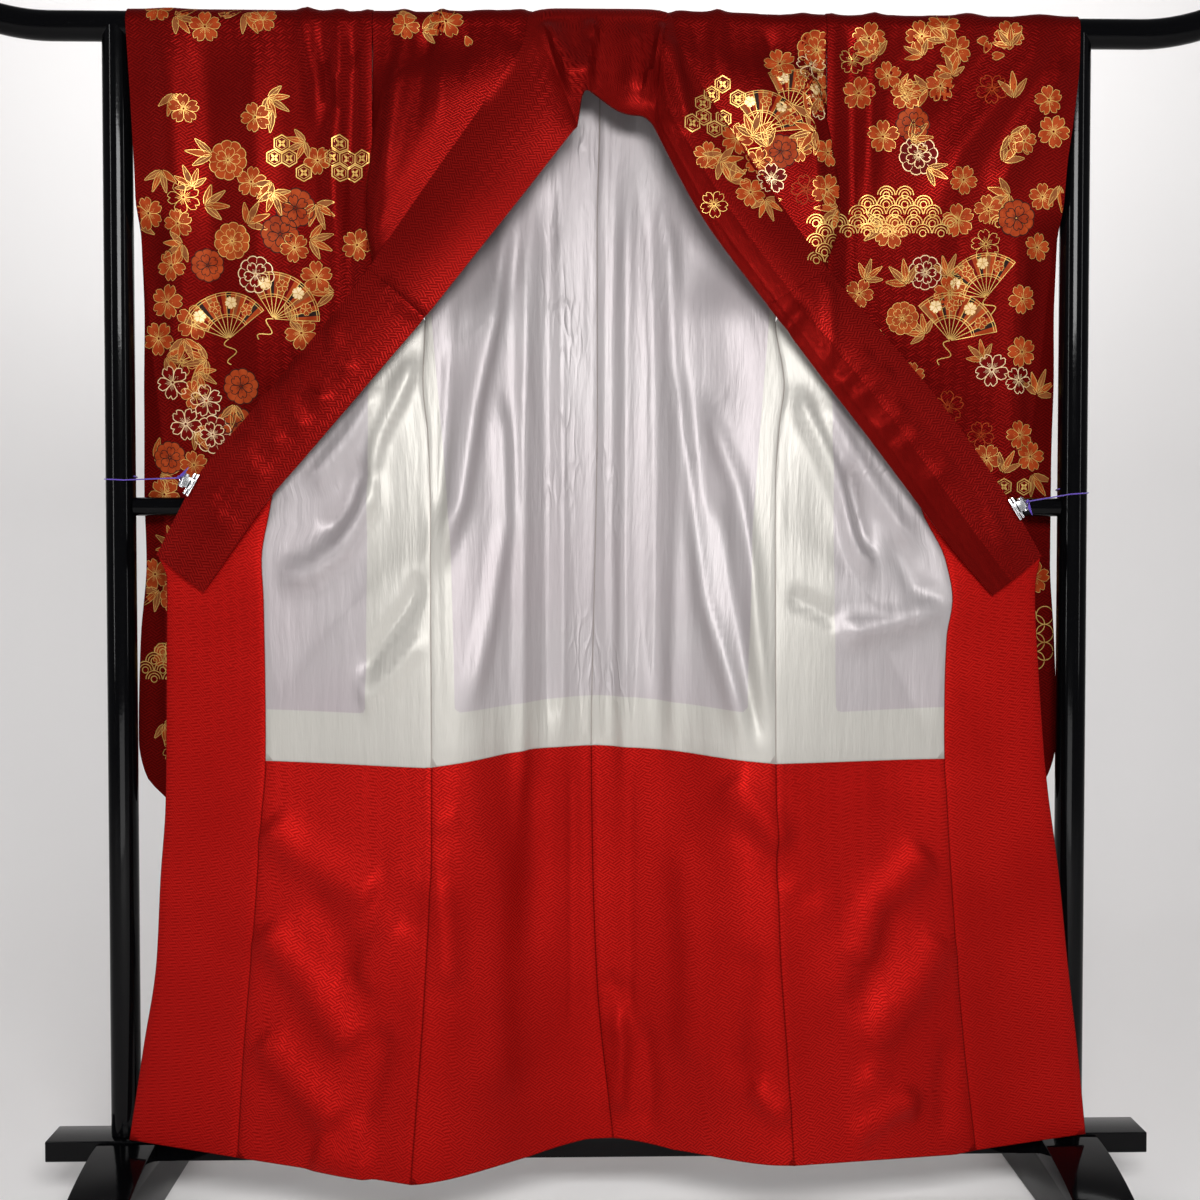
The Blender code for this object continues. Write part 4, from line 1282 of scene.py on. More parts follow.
LINING_CREASES = creases("""
    -60,1520 -54,1140 -52,660 40 24 0 8
    10,1600 9,660 55 32 40 3
    -22,1520 -26,1300 -21,1120 40 14
    22,1020 28,860 22,670 40 15
    -200,1100 -214,900 -205,700 50 15
    190,1050 205,900 200,680 50 15
    56,1400 66,1200 64,1020 40 14
    -130,900 -137,780 -128,670 50 15
""")

BACK_ONLY_CREASES = creases("""
    -240,1620 -200,1400 -210,1150 120 -30
    250,1600 220,1420 200,1250 100 -30
    -40,1600 -60,1350 90 -20
    120,1630 100,1450 100 -30
""")


@dataclass
class Declarations:
    """The cloths, each noted with its row in the cuts and what it hangs on."""

    cloths: list[tuple[bpy.types.Object, str, str]] = field(default_factory=list)

    def add(self, obj: bpy.types.Object, slot: str, nodes: list[str], cut: str, support: str,
            *cloths: Cloth) -> None:
        """Tie one cloth to the frame and note it.

        Args:
            obj: the cloth's object.
            slot: the record's material slot.
            nodes: the CAD nodes that it stands for.
            cut: its row in the cuts.
            support: what it hangs on.
            cloths: the grids that it is made of.
        """
        keep(obj, slot, *nodes)
        log.info("%s cut %.4f m2", obj.name, sum(cloth.area() for cloth in cloths))
        self.cloths.append((obj, cut, support))

    def named(self) -> dict[str, bpy.types.Object]:
        """The outer cloths by name, without the linings."""
        return {obj.name: obj for obj, *_ in self.cloths if "lining" not in obj.name}

    def finish(self, prints: dict[str, bpy.types.Object]) -> None:
        """Do nothing with the cloths or their prints.

        Args:
            prints: the prints by their cloth's name; not used.
        """


@dataclass
class HalfBody:
    """One half of the body: back, front and overlap panel in one run, seen from the middle outwards."""

    side: Side
    neck_columns: int = 16
    front_columns: int = 46
    okumi_columns: int = 22
    row_step: float = 0.0115
    crown_rows: int = 7
    edge_cell: float = 0.25
    spread_height: float = 0.4
    spread_power: float = 1.2
    wave_top: float = 0.35
    wave_low: tuple[float, float] = (0.05, 0.6)
    fold_ends: float = 0.1
    slack_low: tuple[float, float] = (0.2, 0.6)
    slack_shift: float = 0.35
    white_reach: float = 0.11
    turn_reach: float = 0.05
    press_reach: float = 0.08
    gather: tuple[float, float, float] = (0.003, 0.015, 0.17)

    @property
    def amounts(self) -> np.ndarray:
        """How far across the back each column lies, closer over the shoulder.

        Returns:
            The shares of the width, 0 at the middle and 1 at the armhole.
        """
        neck = (NECK_FRONT[0][1] - NECK_INNER) / (SHOULDER - NECK_INNER)
        inner = np.linspace(0.0, neck, self.neck_columns + 1)[:-1]
        inner[1] *= self.edge_cell
        return np.concatenate([inner, neck + (1.0 - neck) * columns_between(self.front_columns)])

    def levels(self, top: float, low: float) -> np.ndarray:
        """Heights from the top down to the bottom, with the main joins among them.

        Args:
            top: the first height.
            low: the last height.

        Returns:
            The heights, downwards.
        """
        marks = [top] + [m for m in (WHITE_TOP_BACK, FOLD_LOW, WHITE_TOP_FRONT, JOIN_HEIGHT, OKUMI_LINING_TOP,
                                     WHITE_LOW) if low < m < top] + [low]
        out: list[float] = []
        for high, down in zip(marks[:-1], marks[1:]):
            count = max(1, round((high - down) / self.row_step))
            out += list(np.linspace(high, down, count + 1)[:-1])
        return np.array(out + [low])

    def collar_seam(self, heights: np.ndarray) -> np.ndarray:
        """Plan place of the front's edge under the collar's seam."""
        return at_heights(COLLAR_SEAMS[self.side.value], heights) + np.array([0.0, COLLAR_TUCK])

    def back_run(self, heights: np.ndarray) -> np.ndarray:
        """Plan points of the back, rows by columns by 2.

        Args:
            heights: the rows' heights.

        Returns:
            The plan points.
        """
        centre = at_heights(CENTRE_LINE, heights) * np.array([self.side.sign, 1.0])
        edge = at_heights(SIDE_LINES[self.side.value], heights)
        amount = self.amounts[None, :]
        turn = smooth_step((TOP - heights) / self.spread_height)[:, None]
        depth = amount + turn * (smooth_step(amount) ** self.spread_power - amount)
        low, reach = self.wave_low
        strength = smooth_step((TOP - heights) / self.wave_top) * smooth_step((heights - low) / reach)
        wave = -FOLD_DEPTH * strength[:, None] * np.sin(math.pi * FOLD_WAVES * amount) ** 2
        x = centre[:, :1] + (edge[:, :1] - centre[:, :1]) * amount
        y = centre[:, 1:] + (edge[:, 1:] - centre[:, 1:]) * depth + wave
        return np.dstack([x, y])

    def front_run(self, heights: np.ndarray) -> np.ndarray:
        """Plan points of the front, from the armhole or side seam to the collar or overlap seam.

        Args:
            heights: the rows' heights.

        Returns:
            The plan points, rows by columns by 2.
        """
        knots = at_heights(FRONT_FOLDS, heights).reshape(-1, 5, 2)
        if self.side is Side.RIGHT:
            ends = np.minimum(TOP - heights, heights - FOLD_LOW) / self.fold_ends
            knots[:, 1:4, 0] += (RIGHT_FOLD_OUT * smooth_step(ends))[:, None] * (0.1, 1.0, 0.5)
        seam_top = COLLAR_SEAMS[self.side.value][0][0]
        seam = self.collar_seam(heights)
        knots[:, 4] = np.where((heights <= seam_top)[:, None], seam, knots[:, 4])
        low = np.minimum(heights, JOIN_HEIGHT)
        start = at_heights(SIDE_LINES[self.side.value], low)
        end = at_heights(OKUMI_SEAMS[self.side.value], low)
        amount = np.clip((FOLD_LOW - heights) / (FOLD_LOW - JOIN_HEIGHT), 0.0, 1.0)[:, None]
        between = (heights > JOIN_HEIGHT)[:, None]
        high = np.array(FRONT_FOLDS[-1][1:3])
        join = self.collar_seam(np.array([JOIN_HEIGHT]))
        start = np.where(between, high + (start - high) * amount, start)
        end = np.where(between, seam + (end - join) * amount, end)
        slack = FRONT_SLACK * smooth_step((heights - self.slack_low[0]) / self.slack_low[1])
        way = np.linspace(0.0, 1.0, 5)
        straight = start[:, None] + (end - start)[:, None] * way[None, :, None]
        straight[..., 1] += slack[:, None] * np.sin(math.pi * way) * (way - self.slack_shift)
        share = np.where(heights >= FOLD_LOW, 0.0, smooth_step(amount[:, 0]))[:, None, None]
        knots = knots * (1.0 - share) + straight * share
        return through(knots, columns_between(self.front_columns))

    def okumi_run(self, heights: np.ndarray) -> np.ndarray:
        """Plan points of the overlap panel, from its seam to the collar or its free edge.

        Args:
            heights: the rows' heights.

        Returns:
            The plan points, rows by columns by 2.
        """
        start = at_heights(OKUMI_SEAMS[self.side.value], heights)
        low = COLLAR_SEAMS[self.side.value][-1][0]
        corner = self.collar_seam(np.array([low]))[0]
        free = at_heights(((low, *corner), *OKUMI_EDGES[self.side.value]), heights)
        end = np.where((heights >= low)[:, None], self.collar_seam(heights), free)
        way = columns_between(self.okumi_columns)
        return start[:, None] + (end - start)[:, None] * way[None, :, None]

    @staticmethod
    def plan_normals(run: np.ndarray) -> np.ndarray:
        """Find which way the cloth faces, seen from above.

        Args:
            run: rows of places in X and Y.

        Returns:
            The unit normals in X and Y, towards the cloth's outside.
        """
        step = np.gradient(run, axis=1)
        normal = np.dstack([-step[..., 1], step[..., 0]])
        return normal / np.linalg.norm(normal, axis=2, keepdims=True)

    def rise(self, x: np.ndarray, heights: np.ndarray) -> np.ndarray:
        """How far the hem and the white lining's low edge stand above their mean.

        Args:
            x: distances from the middle.
            heights: heights.

        Returns:
            The rise at each place.
        """
        fade = np.clip((HEM_FADE_HEIGHT - heights) / (HEM_FADE_HEIGHT - HEM), 0.0, 1.0)
        near = np.clip(1.0 - np.abs(heights - WHITE_LOW) / self.white_reach, 0.0, 1.0)
        return (np.interp(x, HEM_PLACES, HEM_RISE[self.side.value]) * fade
                + np.interp(x, WHITE_PLACES, WHITE_RISE[self.side.value]) * near)

    def settle(self, run: np.ndarray, normals: np.ndarray, heights: np.ndarray, front: bool,
               ridges: tuple[Crease, ...]) -> Cloth:
        """Put a plan run in the world, with its hem line and creases.

        Args:
            run: the plan points.
            normals: their plan normals.
            heights: the rows' heights.
            front: whether this is the front, whose outside faces the camera above the fold.
            ridges: the creases to press in.

        Returns:
            The cloth.
        """
        z = heights[:, None] + self.rise(run[..., 0], heights[:, None])
        x = self.side.sign * run[..., 0]
        facing = np.where(heights > FOLD_LOW, 1.0, -1.0)[:, None] if front else -1.0
        lift = relief(ridges, x, z) * facing
        if front:
            lift = lift * smooth_step(np.abs(heights - FOLD_LOW) / self.turn_reach)[:, None]
            floor = -PRESS_TOP - PRESS_LOW * smooth_step((TOP - heights) / self.press_reach)[:, None]
            lift = np.where(heights[:, None] > FOLD_LOW, np.maximum(lift, floor), lift)
        x = x + self.side.sign * normals[..., 0] * lift
        y = run[..., 1] + normals[..., 1] * lift
        world = np.dstack([self.side.sign * normals[..., 0], normals[..., 1], np.zeros_like(x)])
        return Cloth(np.dstack([x, y, z]), world)

    def crown(self, back: bool) -> tuple[np.ndarray, np.ndarray]:
        """Points and normals of the rows that go over the bar, from its crown to the level of its axis.

        Args:
            back: whether these are the back's rows.

        Returns:
            The points and their normals.
        """
        points, normals = [], []
        for k in range(self.crown_rows):
            turn = 90.0 * k / self.crown_rows
            inner = NECK_INNER if back else np.interp(turn, *np.array(NECK_FRONT).T)
            if back:
                x = inner + (SHOULDER - inner) * self.amounts
            else:
                x = SHOULDER + (inner - SHOULDER) * columns_between(self.front_columns)
            way = math.radians(turn)
            normal = np.array([0.0, math.sin(way) * (1.0 if back else -1.0), math.cos(way)])
            row = np.column_stack([self.side.sign * x, np.zeros_like(x), np.full_like(x, BAR_HEIGHT)])
            lift = pucker(BODY_CREASES + SHOULDER_CREASES, row[:, 0])
            start, rise, reach = self.gather
            beside = np.abs(row[:, 0]) - (NECK_FRONT[0][1] if back else inner) - start
            gather = smooth_step(beside / rise) * (1.0 - smooth_step(beside / reach))
            lift = lift + NECK_GATHER * gather * math.cos(way) ** 2
            radius = BAR_CLOTH_RADIUS + lift * (1 - turn / 90 if back else 1.0)
            points.append(row + normal * radius[:, None])
            normals.append(np.broadcast_to(normal, row.shape))
        return np.array(points), np.array(normals)

    def panels(self) -> dict[str, Cloth]:
        """The three panels' cloths; the back and front begin at the bar's crown.

        Returns:
            The cloths of back, front and okumi.
        """
        high = self.levels(TOP, HEM)
        low = high[high <= JOIN_HEIGHT + 1e-9]
        back, front, okumi = self.back_run(high), self.front_run(high), self.okumi_run(low)
        start = len(high) - len(low)
        joined = np.concatenate([back[start:], front[start:, 1:], okumi[:, 1:]], axis=1)
        shared = self.plan_normals(joined)
        columns = back.shape[1]
        normals_back, normals_front = self.plan_normals(back), self.plan_normals(front)
        normals_back[start:] = shared[:, :columns]
        normals_front[start:] = shared[:, columns - 1:columns - 1 + front.shape[1]]
        normals_back[:, 0] = (0.0, 1.0)
        made = {
            "back": self.settle(back, normals_back, high, False, BODY_CREASES + BACK_ONLY_CREASES),
            "front": self.settle(front, normals_front, high, True, BODY_CREASES + SHOULDER_CREASES),
            "okumi": self.settle(okumi, shared[:, -okumi.shape[1]:].copy(), low, False, BODY_CREASES),
        }
        for name in ("back", "front"):
            points, normals = self.crown(name == "back")
            points = np.concatenate([points, made[name].points])
            made[name] = Cloth(points, np.concatenate([normals, made[name].normals]))
        self.high, self.low = high, low
        return made

    def rows(self, name: str, top: float, low: float) -> slice:
        """The rows of a panel from one height down to another.

        Args:
            name: the panel.
            top: the first height.
            low: the last height.

        Returns:
            The slice of its grid.
        """
        heights = self.low if name == "okumi" else self.high
        extra = 0 if name == "okumi" else self.crown_rows
        first = int(np.argmin(np.abs(heights - top)))
        last = int(np.argmin(np.abs(heights - low)))
        return slice(extra + first, extra + last + 1)


@dataclass
class Robe:
    """The body, the overlap panels and all their linings."""

    silk: bpy.types.Material
    red: bpy.types.Material
    white: bpy.types.Material
    declare: Declarations
    puff: float = 0.0012
    puff_width: float = 0.007
    crease_margin: float = 0.006
    strip_top: float = 1.30
    front_strip: float = 0.318
    strip_fade: float = 0.02

    def build(self) -> None:
        """Build both halves."""
        for side in Side:
            half = HalfBody(side)
            panels = half.panels()
            self.body(side, half, panels["back"], panels["front"])
            self.okumi(side, panels["okumi"])
            for name, top in (("back", WHITE_TOP_BACK), ("front", WHITE_TOP_FRONT)):
                rows = half.rows(name, top, WHITE_LOW)
                self.lining(side, name, panels[name].part(rows), "lining", self.white)
            for name, top in (("back", WHITE_LOW), ("front", WHITE_LOW), ("okumi", OKUMI_LINING_TOP)):
                rows = half.rows(name, top, HEM)
                self.lining(side, name, panels[name].part(rows), "hem_lining", self.red)

    def body(self, side: Side, half: HalfBody, back: Cloth, front: Cloth) -> None:
        """One cloth from the back's hem over the bar to the front's hem.

        Args:
            side: the side.
            half: its half body.
            back: the back's cloth.
            front: the front's cloth.
        """
        shell = Shell(f"robe_body_{side.value}")
        behind, before = shell.sides(back), shell.sides(front)
        first = half.neck_columns
        for near_back, near_front in zip(behind, before):
            near_front[0] = near_back[0, first:][::-1]
        shell.wall(behind, back.cut, joined=first)
        shell.wall(before, front.cut + np.array([CUT_FRONT, 0.0]), joined=0)
        nodes = [f"body_{side.value}_{name}" for name in ("back", "front")]
        self.declare.add(shell.build(self.silk), "silk", nodes, "body", "top_bar", back, front)

    def okumi(self, side: Side, cloth: Cloth) -> None:
        """The overlap panel that widens the front.

        Args:
            side: the side.
            cloth: the panel's cloth.
        """
        shell = Shell(f"robe_okumi_{side.value}")
        shell.wall(shell.sides(cloth), cloth.cut + np.array([CUT_OKUMI, 0.0]))
        self.declare.add(shell.build(self.silk), "silk", [f"okumi_{side.value}"], "okumi",
                         f"robe_body_{side.value}", cloth)

    def ply(self, name: str, cloth: Cloth) -> np.ndarray:
        """How far inside the whiter, doubled parts of the lining each point lies, in metres.

        Args:
            name: the panel.
            cloth: the part of it that is lined.

        Returns:
            The distances, negative outside those parts.
        """
        x, z = np.abs(cloth.points[..., 0]), cloth.points[..., 2]
        if name == "back":
            strip = x - np.interp(z, *np.array(STRIP_EDGE).T)
        else:
            strip = np.minimum(self.front_strip - x, self.strip_fade)
        band = np.interp(x, *np.array(BAND_TOP).T) - z
        return np.maximum(np.minimum(strip, self.strip_top - z), band)

    def lining(self, side: Side, name: str, cloth: Cloth, kind: str, finish: bpy.types.Material) -> None:
        """One lining on the inside face of a panel.

        Args:
            side: the side.
            name: the panel.
            cloth: the part of the panel that it lines.
            kind: whether it is a lining or a hem_lining.
            finish: its material.
        """
        white = kind == "lining"
        across = cloth.cut[..., 0]
        width = across[:, -1:]
        down = cloth.cut[..., 1] - cloth.cut[:1, :, 1]
        inset = np.minimum(np.minimum(across, width - across), down.max(0)[None, :] - down)
        puff = self.puff * seam_round(inset, self.puff_width)
        if white:
            lift = relief(LINING_CREASES, cloth.points[..., 0], cloth.points[..., 2])
            puff = puff + np.maximum(lift, 0.0) * smooth_step(inset / self.crease_margin)
        shell = Shell(f"robe_{kind}_{side.value}_{name}")
        mark = self.ply(name, cloth) if white else 0.0
        sides = shell.sides(cloth, -LAYER_GAP - LINING - puff, -LAYER_GAP - puff * 0.5, mark, inset)
        shell.wall(sides, cloth.cut)
        self.declare.add(shell.build(finish), "white_satin" if white else "red_lining",
                         [f"{kind}_{side.value}_{name}"], f"{kind.split('_')[0]}_{name}",
                         f"robe_body_{side.value}", cloth)


SLEEVE_CREASES = {
    Side.LEFT: creases("""
        -412,1720 -405,1630 -392,1579 -388,1500 100 60 0 30
        -395,1660 -378,1580 -375,1500 80 -50 0 30
        -362,1720 -362,1600 -372,1450 -365,1300 100 70 0 30
        -342,1720 -343,1550 -348,1400 -350,1200 80 -60 0 20
        -322,1720 -322,1500 -322,1200 80 40 0 20
        -600,1700 -585,1400 -600,1100 240 70
        -550,1660 -535,1450 -545,1200 220 -40
        -480,1660 -475,1400 -480,1100 220 60
        -630,1000 -600,800 -620,650 140 30
    """),
    Side.RIGHT: creases("""
        640,1700 600,1610 503,1488 460,1380 200 90 0 30
        590,1700 545,1630 450,1530 140 -50 0 30
        545,1700 500,1630 410,1500 140 60 0 30
        660,1620 600,1530 550,1420 160 70
        455,1720 430,1630 385,1560 120 -50 0 30
        390,1720 378,1600 372,1400 100 70 0 30
        346,1720 350,1420 345,1200 90 -60 0 20
        322,1720 322,1500 322,1200 80 40 0 20
        600,1400 585,1200 600,1000 200 60
        500,1400 510,1200 180 -40
        620,950 600,800 615,660 140 30
    """),
}


@dataclass
class Sleeve:
    """A long sleeve: one cloth folded over the bar, seamed along its outer edge and its bottom."""

    side: Side
    silk: bpy.types.Material
    inner: bpy.types.Material
    declare: Declarations
    columns: int = 50
    crown_rows: int = 7
    row_step: float = 0.0115
    cuff_low: float = 1.36
    cuff_reach: float = 0.07
    press_reach: float = 0.08
    spread_power: float = 1.25
    pinch_power: float = 0.6

    def outer(self, heights: np.ndarray) -> np.ndarray:
        """The outer edge's distance from the middle."""
        return at_heights(SLEEVE_OUTER[self.side.value], heights)[:, 0]

    def layer(self, back: bool) -> Cloth:
        """The back or front layer's inside face.

        Args:
            back: whether it is the back layer.

        Returns:
            The layer.
        """
        count = round((TOP - SLEEVE_LOW) / self.row_step)
        heights = TOP - (TOP - SLEEVE_LOW) * np.linspace(0.0, 1.0, count + 1)
        way = 1.0 - (1.0 - np.linspace(0.0, 1.0, self.columns + 1)) ** self.spread_power
        sense = 1.0 if back else -1.0
        rows, normals = [], []
        for k in range(self.crown_rows):
            turn = math.radians(90.0 * k / self.crown_rows)
            x = SLEEVE_INNER + (self.outer(np.array([BAR_HEIGHT]))[0] - SLEEVE_INNER) * way
            normal = np.array([0.0, sense * math.sin(turn), math.cos(turn)])
            row = np.column_stack([self.side.sign * x, np.zeros_like(x), np.full_like(x, BAR_HEIGHT)])
            radius = BAR_CLOTH_RADIUS + pucker(SLEEVE_CREASES[self.side], row[:, 0])
            rows.append(row + normal * radius[:, None])
            normals.append(np.broadcast_to(normal, row.shape))
        middle, half = at_heights(SLEEVE_DEPTH, heights).T
        outer = self.outer(heights)
        x = SLEEVE_INNER + (outer - SLEEVE_INNER)[:, None] * way[None, :]
        cuff = smooth_step((heights - self.cuff_low) / self.cuff_reach)[:, None]
        edge = (outer[:, None] - x) / SLEEVE_PINCH + cuff
        low = ((heights - SLEEVE_LOW) / SLEEVE_PINCH)[:, None]
        near = smooth_step(np.minimum(np.minimum(edge, low), 1.0)) ** self.pinch_power
        gap = SLEEVE_SEAM_HALF + (half[:, None] - SLEEVE_SEAM_HALF) * near
        z = np.broadcast_to(heights[:, None], x.shape)
        world_x = self.side.sign * x
        drape = relief(SLEEVE_CREASES[self.side], world_x, z)
        floor = -PRESS_TOP - PRESS_LOW * smooth_step((TOP - z) / self.press_reach)
        drape = np.maximum(drape, floor) * smooth_step(near)
        y = middle[:, None] + sense * (gap + drape)
        points = np.concatenate([np.array(rows), np.dstack([world_x, y, z])])
        body_normals = np.zeros((*x.shape, 3))
        body_normals[..., 1] = sense
        return Cloth(points, np.concatenate([np.array(normals), body_normals]))

    def build(self) -> None:
        """Build the sleeve."""
        shell = Shell(f"robe_sleeve_{self.side.value}")
        cloths = [self.layer(True), self.layer(False)]
        walls = [shell.sides(cloth) for cloth in cloths]
        for behind, before in zip(*walls):
            before[0] = behind[0]
        for wall, cloth, place in zip(walls, cloths, (0.0, CUT_SLEEVE_FRONT)):
            shell.wall(wall, cloth.cut + (place, 0.0), 1, joined=0)
        nodes = [f"sleeve_{self.side.value}_{name}" for name in ("back", "front")]
        self.declare.add(shell.build(self.silk, self.inner), "silk", nodes, "sleeve", "top_bar", *cloths)


COLLAR_CREASES = creases("""
    -82,1660 -58,1610 -32,1552 120 220 -35
    -52,1670 -45,1620 -30,1575 70 50
    -8,1675 -13,1620 -21,1555 90 200 40
    38,1660 48,1600 40,1540 160 120
    86,1665 76,1600 58,1545 90 220 -40
    92,1640 103,1570 118,1500 120 120
    -86,1614 -60,1560 -42,1511 100 -30
    13,1592 24,1560 36,1527 100 -30
    112,1600 151,1540 80 -30
    -118,1610 -166,1538 80 40
    -316,1320 -285,1292 -237,1249 45 -30 0 2
    -296,1298 -262,1262 -232,1238 80 60 30
    318,1322 280,1288 236,1251 45 -30 0 2
    247,1221 277,1260 80 50
    312,1307 314,1212 303,1169 70 50
    320,1147 359,1186 373,1199 80 50
    342,1129 381,1164 403,1173 80 50
    372,1086 420,1125 90 50
    398,1060 442,1095 90 40
    440,1015 485,1050 100 30
    530,990 560,930 90 30
    -366,1248 -361,1196 -335,1161 80 60
    -418,1196 -400,1148 -366,1122 80 70
    -435,1170 -418,1117 -400,1082 80 60
    -462,1152 -453,1096 -431,1061 90 50
    -490,1090 -475,1040 -450,1020 90 40
    -540,1020 -520,970 -490,950 100 30
""")


@dataclass
class Collar:
    """The long collar from one front edge over the neck to the other, with a shorter over-collar on it."""

    silk: bpy.types.Material
    declare: Declarations
    across: int = 22
    step: float = 0.009
    roll: float = 0.0011
    roll_power: float = 0.8
    over_thickness: float = 0.0012
    seat: float = 0.25
    evening: int = 3
    flat_above: tuple[float, float] = (0.012, 0.03)

    def neck_row(self, row: tuple[float, ...]) -> np.ndarray:
        """Points across the collar where it comes over the bar.

        Args:
            row: its section, as in the table.

        Returns:
            The points, seam to free edge.
        """
        seam_x, angle, free_x, free_y, free_z = row
        steps = COLLAR_COLUMNS - COLLAR_HANGING
        points = []
        for k in range(steps + 1):
            turn = math.radians(angle) * (1.0 - k / steps)
            x = seam_x + (free_x - seam_x) * self.seat * k / steps
            points.append((x, -COLLAR_RADIUS * math.cos(turn), BAR_HEIGHT + COLLAR_RADIUS * math.sin(turn)))
        start, end = np.array(points[-1]), np.array((free_x, free_y, free_z))
        points += [tuple(start + (end - start) * k / COLLAR_HANGING) for k in range(1, COLLAR_HANGING + 1)]
        return np.array(points)

    def front_row(self, side: Side, row: tuple[float, ...]) -> np.ndarray:
        """Points across the collar below the neck, seam to free edge.

        Args:
            side: the side.
            row: its section, as in the table.

        Returns:
            The points.
        """
        height, free_x, free_y, free_z = row
        seam_x, seam_y = at_heights(COLLAR_SEAMS[side.value], np.array([height]))[0]
        start = np.array((side.sign * seam_x, seam_y, height))
        end = np.array((side.sign * free_x, free_y, free_z))
        way = np.linspace(0.0, 1.0, COLLAR_COLUMNS + 1)[:, None]
        points = start + (end - start) * way
        points[:, 1] -= COLLAR_CROWN * np.sin(math.pi * way[:, 0])
        return points

    def surface(self) -> tuple[Cloth, slice]:
        """The collar's back face, and the rows that the over-collar covers.

        Returns:
            The cloth and the covered rows.
        """
        left, right = COLLAR_SECTIONS["left"], COLLAR_SECTIONS["right"]
        knots = [self.front_row(Side.LEFT, row) for row in left[::-1]]
        knots += [self.neck_row(row) for row in NECK_SECTIONS]
        knots += [self.front_row(Side.RIGHT, row) for row in right]
        knots = np.array(knots)
        middle = knots[:, COLLAR_COLUMNS // 2]
        walked = np.concatenate([[0.0], np.cumsum(np.linalg.norm(np.diff(middle, axis=0), axis=1))])
        marks = [0, len(left) - OVER_COLLAR_SECTIONS,
                 len(left) + len(NECK_SECTIONS) + OVER_COLLAR_SECTIONS - 1, len(knots) - 1]
        at, ends = [], []
        for low, high in zip(marks[:-1], marks[1:]):
            count = max(2, round((walked[high] - walked[low]) / self.step))
            at += list(np.linspace(walked[low], walked[high], count + 1)[:-1])
            ends.append(len(at))
        at.append(walked[-1])
        share = np.interp(at, walked, np.arange(len(knots))) / (len(knots) - 1)
        grid = through(knots.transpose(1, 0, 2), share).transpose(1, 0, 2)
        grid = through(grid, np.linspace(0.0, 1.0, self.across + 1))
        smooth = grid.copy()
        for _ in range(self.evening):
            smooth[1:-1] = 0.25 * smooth[:-2] + 0.5 * smooth[1:-1] + 0.25 * smooth[2:]
        normals = grid_normals(smooth)
        if normals[len(at) // 2, self.across, 1] > 0:
            normals = -normals
        lift = relief(COLLAR_CREASES, smooth[..., 0], smooth[..., 2])
        above, reach = self.flat_above
        height = smooth_step((BAR_HEIGHT + above - smooth[..., 2]) / reach)
        lift = np.maximum(lift, -PRESS_TOP) * height
        return Cloth(smooth + normals * lift[..., None], normals), slice(ends[0], ends[1] + 1)

    def strip(self, name: str, cloth: Cloth, sides: tuple[np.ndarray | float, np.ndarray], place: float,
              support: str) -> None:
        """Build one of the two strips.

        Args:
            name: its name and CAD node.
            cloth: the collar's back face where it lies.
            sides: how far its inside and its outside stand out from there.
            place: where its cut starts in the weave.
            support: what it hangs on.
        """
        shell = Shell(f"robe_{name}")
        shell.wall(shell.sides(cloth, *sides), cloth.cut + (place, 0.0))
        self.declare.add(shell.build(self.silk), "collar_silk", [name], name, support, cloth)

    def build(self) -> None:
        """Build the collar and the over-collar."""
        cloth, covered = self.surface()
        way = np.linspace(0.0, 1.0, self.across + 1)[None, :]
        far = CLOTH + self.roll * np.sin(math.pi * way ** self.roll_power)
        near = far + LAYER_GAP
        self.strip("collar", cloth, (0.0, far), CUT_COLLAR, "top_bar")
        self.strip("over_collar", cloth.part(covered), (near, near + self.over_thickness), CUT_OVER_COLLAR,
                   "robe_collar")


